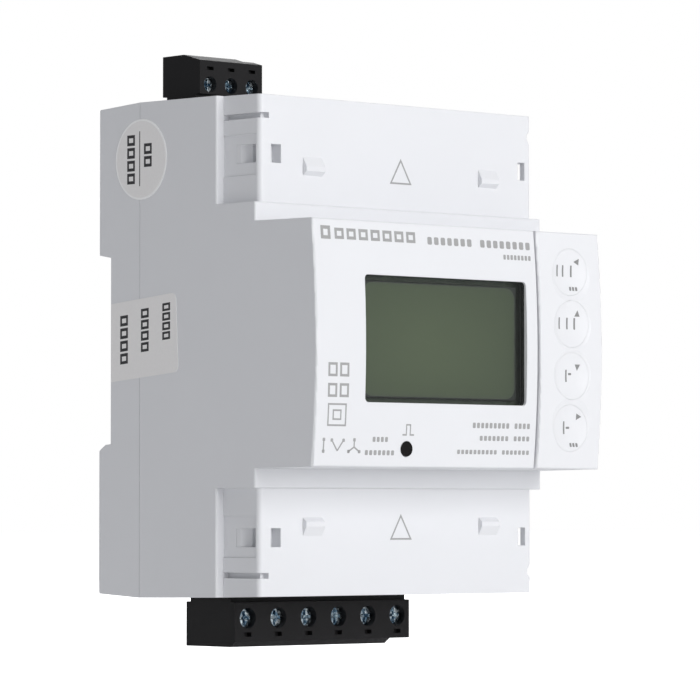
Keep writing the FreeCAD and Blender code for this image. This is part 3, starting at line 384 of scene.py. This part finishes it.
def plated_metal(name, smooth, rough, gloss, size, spread=(0.0, 1.0)):
    """Metal with patches of two colours, the second rougher; a narrow spread parts them more."""
    finish = Finish(name, Metallic=1.0)
    patches = finish.node("ShaderNodeMapRange", Value=finish.noise(size, 4.0),
                          From_Min=spread[0], From_Max=spread[1])
    scratches = finish.noise(size * 0.3, 2.0, SCRATCH_STRETCH)
    return finish.into(
        Base_Color=finish.blend(patches, smooth, rough),
        Roughness=gloss + patches * 0.16,
        Normal=finish.relief(scratches, 0.006 * MM, 0.5, finish.worn_edges(0.08 * MM)))


FINISHES["zinc_steel"] = plated_metal(
    "zinc_steel", (0.12, 0.20, 0.28, 1), (0.88, 0.97, 1.0, 1), 0.14, 0.8 * MM, (0.42, 0.66))
for name, smooth, rough, gloss, size in (
        ("contact_metal", (0.80, 0.76, 0.62, 1), (0.66, 0.60, 0.45, 1), 0.22, 0.8 * MM),
        ("cell_steel", (0.74, 0.74, 0.75, 1), (0.6, 0.6, 0.62, 1), 0.18, 2 * MM),
        ("spring_steel", (0.6, 0.6, 0.62, 1), (0.45, 0.45, 0.48, 1), 0.16, 0.6 * MM),
        ("core_steel", (0.24, 0.24, 0.26, 1), (0.16, 0.15, 0.15, 1), 0.38, 1.5 * MM),
        ("capacitor_can", (0.12, 0.14, 0.22, 1), (0.08, 0.09, 0.15, 1), 0.3, 3 * MM)):
    FINISHES[name] = plated_metal(name, smooth, rough, gloss, size)
print("finishes so far:", len(FINISHES))

# %% [markdown]
# ## Boards, tape and the light guide
#
# Boards, the transformer's winding and the light guide are hidden in the closed meter, but each
# gets the finish of its real material, because the parts are looked at one by one. A Brick
# texture stands for the tracks under a board's green lacquer, which is a thin coat over the
# base. A Wave texture gives the winding its turns under varnished tape.

# %% Mix the board, tape and light guide finishes
board = Finish("board_green", Coat_Weight=0.4, Coat_Roughness=0.15)
tracks = board.node("ShaderNodeTexBrick", output="Fac", Vector=board.node(
    "ShaderNodeMapping", Vector=board.coordinates, Rotation=(math.pi / 2, 0, 0)),
    Scale=140.0, Mortar_Size=0.06, Mortar_Smooth=0.3)
FINISHES["board_green"] = board.into(
    Base_Color=board.blend(tracks, (0.012, 0.085, 0.035, 1), (0.03, 0.16, 0.07, 1)),
    Roughness=0.35 + board.noise(4 * MM, 2.0) * 0.1,
    Normal=board.relief(tracks, 0.03 * MM, 0.6))

tape = Finish("winding_tape", Coat_Weight=0.3)
turns = tape.node("ShaderNodeTexWave", output="Fac", Vector=tape.coordinates,
                  settings={"bands_direction": "Z"}, Scale=160.0, Distortion=1.5)
FINISHES["winding_tape"] = tape.into(
    Base_Color=tape.blend(turns, (0.5, 0.26, 0.03, 1), (0.62, 0.36, 0.06, 1)),
    Roughness=0.35 + tape.noise(2 * MM, 2.0) * 0.1,
    Normal=tape.relief(turns, 0.05 * MM, 0.6))

guide = Finish("light_guide", Specular_IOR_Level=0.5)
FINISHES["light_guide"] = guide.into(
    Base_Color=guide.blend(guide.noise(3 * MM, 2.0), (0.72, 0.74, 0.72, 1),
                           (0.65, 0.67, 0.66, 1)),
    Roughness=0.3 + guide.noise(1 * MM, 2.0) * 0.1)
print("finishes:", sorted(FINISHES))

# %% [markdown]
# ## The two paper labels
#
# Both labels are thin coated paper on the left side wall. Their print is drawn in the material,
# as rows of hollow rectangles that stand for letters. The fraction of a scaled coordinate
# repeats along a row, so one small sum draws every mark in it. The seal's rows lean with its
# edge, so its Z is sheared before it is compared.

# %% Draw the print on the labels
PAPER = (0.92, 0.905, 0.90, 1.0)
PAPER_SHADE = (0.87, 0.855, 0.85, 1.0)
# Paper white for the painted highlight where the round label's edge would catch the light.
PAPER_RIM_HIGHLIGHT = (1.0, 1.0, 1.0, 1.0)
PRINT_INK = (0.035, 0.035, 0.038, 1.0)
MARK_HALF = 0.42
HOLE_HALF = 0.18
HOLE_TALL = 0.27


def printed_paper(name, rows, rules, lean=0.0, rim_highlight=None):
    """A sheet with rows of hollow marks and plain rules, all in millimetres.

    A row is (nearest the front, nearest the rail, low, high, how many marks); a rule is the
    same without the count. A rim highlight is (Y and Z of the middle, radius where it starts):
    beyond it the paper is painted white, a painted highlight on the label's edge.
    """
    finish = Finish(name, Specular_IOR_Level=0.35)
    depth = finish.axis("Y") * (1 / MM)
    height = finish.axis("Z") * (1 / MM) + depth * lean
    ink = 0.0
    for front, rear, low, high in rules:
        ink = finish.between(depth, front, rear) * finish.between(height, low, high) + ink
    for front, rear, low, high, count in rows:
        cell = finish.math("FRACT", (height - low) * (count / (high - low)))
        along = finish.math("ABSOLUTE", cell - 0.5)
        across_row = finish.math("ABSOLUTE", (depth - (front + rear) / 2) * (1 / (rear - front)))
        mark = finish.math("LESS_THAN", along, MARK_HALF) - (
            finish.math("LESS_THAN", along, HOLE_HALF)
            * finish.math("LESS_THAN", across_row, HOLE_TALL))
        ink = (mark * finish.between(depth, front, rear) * finish.between(height, low, high)
               + ink)
    fibres = finish.noise(0.5 * MM, 3.0)
    sheet = finish.blend(fibres, PAPER, PAPER_SHADE)
    # Painted highlight: beyond a radius the round label turns white, as if its edge caught the
    # light.
    if rim_highlight:
        off_y, off_z = depth - rim_highlight[0], height - rim_highlight[1]
        radius = finish.math("SQRT", off_y * off_y + off_z * off_z)
        sheet = finish.blend(finish.math("GREATER_THAN", radius, rim_highlight[2]), sheet, PAPER_RIM_HIGHLIGHT)
    return finish.into(Base_Color=finish.blend(ink, sheet, PRINT_INK),
                       Roughness=0.42 + fibres * 0.12,
                       Normal=finish.relief(fibres, 0.01 * MM, 0.5))


ROUND_ROWS = ((-12.2, -9.9, 33.9, 38.7, 2), (-7.2, -4.9, 30.9, 40.5, 4))
SEAL_ROWS = ((-17.7, -15.4, 0.2, 7.3, 4), (-11.4, -9.1, -1.4, 7.0, 4),
             (-5.2, -2.9, -3.1, 6.4, 4))
ROUND_RULE = (-8.75, -8.5, 30.6, 40.9)
ROUND_RIM_HIGHLIGHT = (-9.0, 35.6, 7.2)
SEAL_LEAN = 0.0785
LABELS = {"round_label": printed_paper("round_paper", ROUND_ROWS, [ROUND_RULE], rim_highlight=ROUND_RIM_HIGHLIGHT),
          "seal_label": printed_paper("seal_paper", SEAL_ROWS, (), SEAL_LEAN)}
print("labels:", sorted(LABELS))

# %% [markdown]
# ## Dress the CAD nodes
#
# A CAD object's mesh is never touched, but its material slots are free. Each node takes the
# finish that its record names, except the labels, which have one each, and the frame of the
# display, whose smoked tone shows round the glass.

# %% Give each node its finish
OWN_FINISH = {**LABELS, "lcd_frame": FINISHES["display_frame"]}
for name, thing in NODES.items():
    thing.data.materials.clear()
    finish = OWN_FINISH[name] if name in OWN_FINISH else FINISHES[SLOT_OF[name]]
    thing.data.materials.append(finish)
print("dressed", len(NODES), "nodes")

# %% [markdown]
# ## New pieces
#
# What the CAD leaves out is made here: a latch spring, a dark ring of painted shade round the
# window and the printing. Each is shaped in a bmesh, in its final place, and becomes an object
# that stays at the origin and rides on one body of the frame.

# %% Turn a bmesh into a piece
def finished_piece(name, bm, body, material):
    """An object at the origin that rides on a body, with its place in its mesh."""
    mesh = bpy.data.meshes.new(name)
    bm.to_mesh(mesh)
    bm.free()
    mesh.materials.append(material)
    piece = bpy.data.objects.new(name, mesh)
    bpy.context.scene.collection.objects.link(piece)
    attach(piece, body)
    print(name, len(mesh.polygons), "faces on", body)
    return piece


# %% [markdown]
# ### The latch spring
#
# The rail latch is pushed up by a small coil spring that stands on a stop in the base, and the
# spring gets shorter when the latch is pulled down. Here it is wound again: a small circle is
# spun round the coil's axis and climbs at each step. It stays on the base.

# %% Wind the latch spring
SPRING_WIRE = 0.4 * MM
SPRING_TURNS = 7
STEPS_PER_TURN = 18
WIRE_SIDES = 10
low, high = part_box("latch_spring")
coil = (low + high) / 2
coil_radius = (high.x - low.x - SPRING_WIRE) / 2
coil_rise = high.z - low.z - SPRING_WIRE
steps = SPRING_TURNS * STEPS_PER_TURN
start = Matrix.Translation((coil.x + coil_radius, coil.y, low.z + SPRING_WIRE / 2))
bm = bmesh.new()
wire = bmesh.ops.create_circle(bm, segments=WIRE_SIDES, radius=SPRING_WIRE / 2,
                               matrix=start @ Matrix.Rotation(math.pi / 2, 4, "X"))["verts"]
bmesh.ops.spin(bm, geom=wire + bm.edges[:], cent=(coil.x, coil.y, low.z), axis=(0, 0, 1),
               dvec=(0, 0, coil_rise / steps), angle=2 * math.pi * SPRING_TURNS, steps=steps,
               use_duplicate=False, use_merge=False)
bmesh.ops.holes_fill(bm, edges=[edge for edge in bm.edges if edge.is_boundary],
                     sides=WIRE_SIDES)
bmesh.ops.recalc_face_normals(bm, faces=bm.faces[:])
for face in bm.faces:
    face.smooth = len(face.verts) == 4
spring = finished_piece("wound_spring", bm, "meter", FINISHES["spring_steel"])
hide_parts("latch_spring")
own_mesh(spring)

# %% [markdown]
# ### The painted shade round the window
#
# A thin black ring fills the gap between the window and its opening: painted shade, a dark piece
# where the narrow gap lies in shade. It hides the white wall that would show through the clear
# edge, and draws the fine dark line round the display. A flat rectangle gets round corners, an
# inset makes it a ring, and an extrusion gives it its depth.

# %% Fit the black ring of painted shade round the window
WINDOW_FLANGE = 1.12 * MM
SHADE_RING_GAP = 0.012 * MM
SHADE_RING_THICK = 0.055 * MM
SHADE_RING_BACK = 0.02 * MM
SHADE_RING_ROUND = 0.8 * MM
SHADE_RING_DEEP = 1.0 * MM
low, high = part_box("lcd_window")
left, foot = low.x + WINDOW_FLANGE + SHADE_RING_GAP, low.z + WINDOW_FLANGE + SHADE_RING_GAP
right, top = high.x - WINDOW_FLANGE - SHADE_RING_GAP, high.z - WINDOW_FLANGE - SHADE_RING_GAP
bm = bmesh.new()
corners = [bm.verts.new((x, low.y + SHADE_RING_BACK, z))
           for x, z in ((left, foot), (right, foot), (right, top), (left, top))]
bm.faces.new(corners)
bmesh.ops.bevel(bm, geom=corners, offset=SHADE_RING_ROUND, segments=5, profile=0.5, affect="VERTICES",
                material=-1)
bm.normal_update()
inside = bm.faces[:]
bmesh.ops.inset_region(bm, faces=inside, thickness=SHADE_RING_THICK, use_boundary=True,
                       use_even_offset=True)
bmesh.ops.delete(bm, geom=inside, context="FACES")
ring = bmesh.ops.extrude_face_region(bm, geom=bm.faces[:])["geom"]
bmesh.ops.translate(bm, verts=[item for item in ring if isinstance(item, bmesh.types.BMVert)],
                    vec=(0, SHADE_RING_DEEP, 0))
bmesh.ops.recalc_face_normals(bm, faces=bm.faces[:])
# This black ring is painted shade: a dark piece in the narrow gap round the window, where there
# is only shade.
finished_piece("window_painted_shade", bm, "meter", FINISHES["frame_black"])

# %% [markdown]
# ## Printing on the case
#
# The printing on the real case is pad-printed ink, a few hundredths of a millimetre thick. Here
# each mark is a thin plate that is laid on the surface: it starts as a flat grid, and a ray from
# the front finds where each of its corners meets the case, so that it follows the bowed face and
# the dished keys. Words are replaced by plain dashes, and symbols by plain shapes.

# %% Mix the inks
def pad_ink(name, dark, light):
    """A satin ink that covers a little unevenly."""
    ink = Finish(name, Specular_IOR_Level=0.4)
    return ink.into(
        Base_Color=ink.blend(ink.noise(0.6 * MM, 2.0), grey(dark), grey(light)),
        Roughness=0.45 + ink.noise(1 * MM, 2.0) * 0.1)


INK_GREY = pad_ink("print_ink", 0.33, 0.40)
KEY_INK = pad_ink("key_ink", 0.22, 0.28)
print("inks:", INK_GREY.name, KEY_INK.name)

# %% Find the surface under the print
RAY_START = -80 * MM
INWARD = Vector((0, 1, 0))


def surface_of(*names):
    """What rays can hit: the triangles of these nodes."""
    corners, faces = [], []
    for name in names:
        mesh = NODES[name].data
        start = len(corners)
        corners += [vertex.co.copy() for vertex in mesh.vertices]
        faces += [[start + i for i in face.vertices] for face in mesh.polygons]
    return BVHTree.FromPolygons(corners, faces)


FRONT_NODES = ("front_housing", "keypad_frame")
front = surface_of(*FRONT_NODES)
print("rays can hit", sum(len(NODES[name].data.polygons) for name in FRONT_NODES), "triangles")

# %% [markdown]
# ### Flat shapes
#
# Every mark is a bar, an outline or a stroke. A bar is a small grid, so that it can bend with
# the surface under it, and its corners are bevelled as ink rounds them. An outline is one face
# whose inset leaves a band, and a stroke is a bar turned to run between two points.

# %% Draw flat shapes
ROUND_SHARE = 0.25


def flat_bar(bm, left, right, low, high, cells=2):
    """A flat grid with round corners that faces the front, placed in millimetres."""
    wide, tall = (right - left) * MM, (high - low) * MM
    place = Matrix.Translation(((left + right) / 2 * MM, 0, (low + high) / 2 * MM))
    turn = Matrix.Rotation(math.pi / 2, 4, "X")
    scale = Matrix.Diagonal((wide, 1, tall, 1))
    made = bmesh.ops.create_grid(bm, x_segments=cells, y_segments=cells, size=0.5,
                                 matrix=place @ scale @ turn)["verts"]
    ends = [vertex for vertex in made if len(vertex.link_edges) == 2]
    bmesh.ops.bevel(bm, geom=ends, offset=ROUND_SHARE * min(wide, tall), segments=3,
                    profile=0.5, affect="VERTICES", material=-1)


def flat_outline(bm, points, width):
    """A closed band along straight runs, mitred at the corners, in millimetres."""
    face = bm.faces.new([bm.verts.new((x * MM, 0, z * MM)) for x, z in points])
    face.normal_update()
    bmesh.ops.inset_region(bm, faces=[face], thickness=width * MM, use_boundary=True,
                           use_even_offset=True)
    bmesh.ops.delete(bm, geom=[face], context="FACES")


def flat_stroke(bm, start, end, width):
    """A thin bar between two points, in millimetres."""
    run = Vector((end[0] - start[0], 0, end[1] - start[1]))
    middle = Vector((start[0] + end[0], 0, start[1] + end[1])) * (MM / 2)
    turn = Matrix.Rotation(math.atan2(run.z, run.x), 4, Vector((0, -1, 0)))
    flat = Matrix.Rotation(math.pi / 2, 4, "X")
    scale = Matrix.Diagonal((run.length * MM, 1, width * MM, 1))
    bmesh.ops.create_grid(bm, x_segments=2, y_segments=1, size=0.5,
                          matrix=Matrix.Translation(middle) @ turn @ scale @ flat)


print("bars, outlines and strokes can be drawn")

# %% Lay thin plates on the surface
INK_THICK = 0.02 * MM
INK_SINK = 0.01 * MM


def lay_on(bm, surface):
    """Move each corner onto the surface, then give the plates their thickness."""
    for vertex in bm.verts:
        hit = surface.ray_cast(Vector((vertex.co.x, RAY_START, vertex.co.z)), INWARD)[0]
        vertex.co.y = hit.y + INK_SINK if hit else vertex.co.y
    plates = bmesh.ops.extrude_face_region(bm, geom=bm.faces[:])["geom"]
    lifted = [item for item in plates if isinstance(item, bmesh.types.BMVert)]
    bmesh.ops.translate(bm, verts=lifted, vec=(0, -INK_THICK - INK_SINK, 0))
    bmesh.ops.recalc_face_normals(bm, faces=bm.faces[:])


print("ink stands", INK_THICK / MM, "mm proud")

# %% [markdown]
# ### The marks on the front face
#
# The words on the real face are small grey print. Here each letter becomes one small plate, so
# that a line keeps its length, height and rhythm but says nothing. The larger marks are hollow
# squares, and the wiring symbols are strokes with a dot at each end.

# %% Put plates together as rows and symbols
LETTER_SHARE = 0.66
WIRE_WIDE = 0.28
DOT_HALF = 0.3


def letter_row(bm, left, right, low, high, words):
    """A line of small plates; words are how many letters each word has."""
    pitch = (right - left) / (sum(words) + len(words) - 1)
    for letters in words:
        for _ in range(letters):
            flat_bar(bm, left, left + LETTER_SHARE * pitch, low, high, 1)
            left += pitch
        left += pitch


def hollow_square(bm, left, low, wide, high, stroke):
    """A rectangle drawn with a line of this width, in millimetres."""
    flat_outline(bm, ((left, low), (left + wide, low), (left + wide, low + high),
                      (left, low + high)), stroke)


def wired_symbol(bm, middle, ends):
    """Strokes from one point to each end, and a dot on each end."""
    for x, z in ends:
        flat_stroke(bm, middle, (x, z), WIRE_WIDE)
        flat_bar(bm, x - DOT_HALF, x + DOT_HALF, z - DOT_HALF, z + DOT_HALF, 1)


print("rows, squares and symbols can be drawn")

# %% Print the front face
FRONT_ROWS = (
    (-8.3, 18.2, 18.5, 19.9, (7, 8)),
    (10.7, 18.0, 16.5, 17.4, (8,)),
    (-21.9, -17.9, -17.7, -16.8, (4,)),
    (-23.6, -16.2, -20.1, -19.2, (7,)),
    (2.7, 17.6, -14.9, -13.9, (9, 4)),
    (4.6, 17.6, -17.2, -16.3, (7, 4)),
    (-0.9, 17.7, -19.7, -18.9, (10, 7)),
)
HEADING_SQUARES = ((-34.2, 18.5, 2.3, 2.4, 0.62),
                   *((-30.9 + 2.9 * i, 18.6, 2.2, 2.0, 0.55) for i in range(7)))
MARK_SQUARES = tuple((left, low, 2.2, 2.5, 0.45) for low in (-6.1, -9.8)
                     for left in (-33.1, -30.3))
NESTED_SQUARES = ((-33.0, -15.0, 4.5, 4.1, 0.32), (-31.8, -13.9, 2.1, 1.9, 0.3))
WIRINGS = (((-33.6, -18.4), ((-33.6, -17.4), (-33.6, -19.5))),
           ((-30.3, -19.4), ((-31.7, -17.5), (-28.9, -17.5))),
           ((-26.3, -18.7), ((-26.3, -17.4), (-27.6, -19.5), (-25.0, -19.5))))
PULSE_BARS = ((-14.7, -13.9, -16.5, -16.2), (-13.9, -13.65, -16.5, -14.4),
              (-13.9, -12.7, -14.65, -14.4), (-12.95, -12.7, -16.5, -14.4),
              (-12.7, -11.9, -16.5, -16.2))
bm = bmesh.new()
for row in FRONT_ROWS:
    letter_row(bm, *row)
for square in HEADING_SQUARES + MARK_SQUARES + NESTED_SQUARES:
    hollow_square(bm, *square)
for middle, ends in WIRINGS:
    wired_symbol(bm, middle, ends)
for bar in PULSE_BARS:
    flat_bar(bm, *bar)
lay_on(bm, front)
finished_piece("front_print", bm, "meter", INK_GREY)

# %% [markdown]
# ### The triangles on the covers
#
# Each terminal cover has one triangle in the middle. It is left plain, with no sign in it. An
# inset of a single triangle keeps the line's width the same all round, with sharp corners.

# %% Print a plain triangle on each terminal cover
TRIANGLE_LEFT, TRIANGLE_RIGHT = -2.4, 3.1
TRIANGLE_LINE = 0.32
bm = bmesh.new()
for foot, tip in ((30.9, 35.7), (-35.5, -30.7)):
    middle = (TRIANGLE_LEFT + TRIANGLE_RIGHT) / 2
    flat_outline(bm, ((TRIANGLE_LEFT, foot), (TRIANGLE_RIGHT, foot), (middle, tip)),
                 TRIANGLE_LINE)
lay_on(bm, front)
finished_piece("cover_print", bm, "meter", INK_GREY)

# %% [markdown]
# ### The marks on the keys
#
# Each key has a small arrow and a few strokes. The arrows are generic, as on any four-way
# keypad, and the strokes stand for its lettering. They ride on the key, so they move when it is
# pressed.

# %% Print the keys
KEY_PLACE = [sum(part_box(f"key_{i}"), Vector()) / 2 for i in range(1, 5)]
ARROW_SIZE = 0.75
ARROW_AT = ((2.1, 2.0), (1.8, 1.9), (1.8, 1.8), (2.3, 2.2))
ARROW_TURN = (180, 90, 270, 0)
ARROW_CORNERS = (0, 125, 235)
KEYS_WITH_WORD = (0, 3)
KEY_WORD = (0.1, 2.3, -3.5, -2.75)
STROKES = (((-3.3, -2.9, -0.9, 1.3), (-1.6, -1.2, -0.9, 1.3), (0.6, 1.0, -0.9, 1.3)),
           ((-3.2, -2.8, -1.0, 1.2), (-0.9, -0.5, -1.0, 1.2), (1.0, 1.4, -1.0, 1.2)),
           ((-1.2, -0.8, -1.1, 1.2), (-0.4, 0.4, 0.2, 0.6)),
           ((-1.4, -1.0, -1.1, 1.3), (-0.6, 0.3, -0.1, 0.3)))
for i, middle in enumerate(KEY_PLACE):
    bm = bmesh.new()
    x, z = middle.x / MM, middle.z / MM
    for left, right, low, high in STROKES[i]:
        flat_bar(bm, x + left, x + right, z + low, z + high, 3)
    arrow = []
    for corner in ARROW_CORNERS:
        angle = math.radians(ARROW_TURN[i] + corner)
        arrow.append(bm.verts.new(((x + ARROW_AT[i][0] + ARROW_SIZE * math.cos(angle)) * MM, 0,
                                   (z + ARROW_AT[i][1] + ARROW_SIZE * math.sin(angle)) * MM)))
    bm.faces.new(arrow)
    if i in KEYS_WITH_WORD:
        left, right, low, high = KEY_WORD
        letter_row(bm, x + left, x + right, z + low, z + high, (3,))
    lay_on(bm, surface_of(f"key_{i + 1}"))
    finished_piece(f"key_{i + 1}_print", bm, f"key_{i + 1}", KEY_INK)

# %% [markdown]
# ## The studio
#
# A product on white is lit from large soft sources. A big softbox stands in front, a weak one
# hangs above, and one behind keeps the far sides from going dark when the meter is turned. The
# world's own light fills the shadows, while a ray from the camera sees it as plain white.

# %% Fill the air with light
FILL_TINT = (0.95, 0.965, 1.0, 1.0)
FILL_STRENGTH = 0.335
world = bpy.data.worlds.new("studio")
bpy.context.scene.world = world
world.use_nodes = True
air = world.node_tree
shown = air.nodes.new("ShaderNodeBackground")
shown.inputs["Color"].default_value = grey(1.0)
shown.inputs["Strength"].default_value = 1.0
filled = air.nodes["Background"]
filled.inputs["Color"].default_value = FILL_TINT
filled.inputs["Strength"].default_value = FILL_STRENGTH
path = air.nodes.new("ShaderNodeLightPath")
choice = air.nodes.new("ShaderNodeMixShader")
air.links.new(path.outputs["Is Camera Ray"], choice.inputs[0])
air.links.new(filled.outputs[0], choice.inputs[1])
air.links.new(shown.outputs[0], choice.inputs[2])
air.links.new(choice.outputs[0], air.nodes["World Output"].inputs["Surface"])
print("the air fills the shadows at", FILL_STRENGTH)

# %% Place the softboxes
LIGHT_AIM = Vector((0, -0.03, 0))


def softbox(name, place, side, power):
    """A square area light that points at the meter."""
    data = bpy.data.lights.new(name, "AREA")
    data.shape = "RECTANGLE"
    data.size = data.size_y = side
    data.energy = power
    lamp = bpy.data.objects.new(name, data)
    lamp.location = place
    lamp.rotation_euler = (LIGHT_AIM - Vector(place)).to_track_quat("-Z", "Y").to_euler()
    bpy.context.scene.collection.objects.link(lamp)
    print(name, side, "m wide,", power, "W")


softbox("key_light", (0.05, -1.27, 0.24), 0.8, 11.1)
softbox("back_light", (0.75, 1.15, 0.55), 0.9, 6.0)
softbox("top_light", (0.0, 0.1, 1.2), 1.2, 4.6)

# %% [markdown]
# ### The floor
#
# The lower plug pulls out downwards, so the floor lies a plug's travel below the meter. It
# glows a little, for the camera only, so that it stays as pale as the air behind it and adds
# nothing to the light on the meter.

# %% Lay the floor
PLUG_TRAVEL = 12 * MM
FLOOR_GAP = 1 * MM
FLOOR_HEIGHT = CAD_BOX[0][2] - PLUG_TRAVEL - FLOOR_GAP
FLOOR_HALF = 6.0
FLOOR_GLOW = 0.72
bm = bmesh.new()
bmesh.ops.create_grid(bm, x_segments=1, y_segments=1, size=FLOOR_HALF,
                      matrix=Matrix.Translation((0, 0, FLOOR_HEIGHT)))
mesh = bpy.data.meshes.new("floor")
bm.to_mesh(mesh)
bm.free()
pale = Finish("floor_pale", Specular_IOR_Level=0.2, Emission_Strength=FLOOR_GLOW)
seen = pale.node("ShaderNodeLightPath", output="Is Camera Ray")
mesh.materials.append(pale.into(
    Emission_Color=pale.blend(seen, grey(0.0), grey(1.0)),
    Base_Color=pale.blend(pale.noise(0.3, 2.0), grey(0.93), grey(0.91)),
    Roughness=0.7 + pale.noise(0.1, 2.0) * 0.05))
floor = bpy.data.objects.new("floor", mesh)
bpy.context.scene.collection.objects.link(floor)
print("floor at", round(FLOOR_HEIGHT, 4), "m")
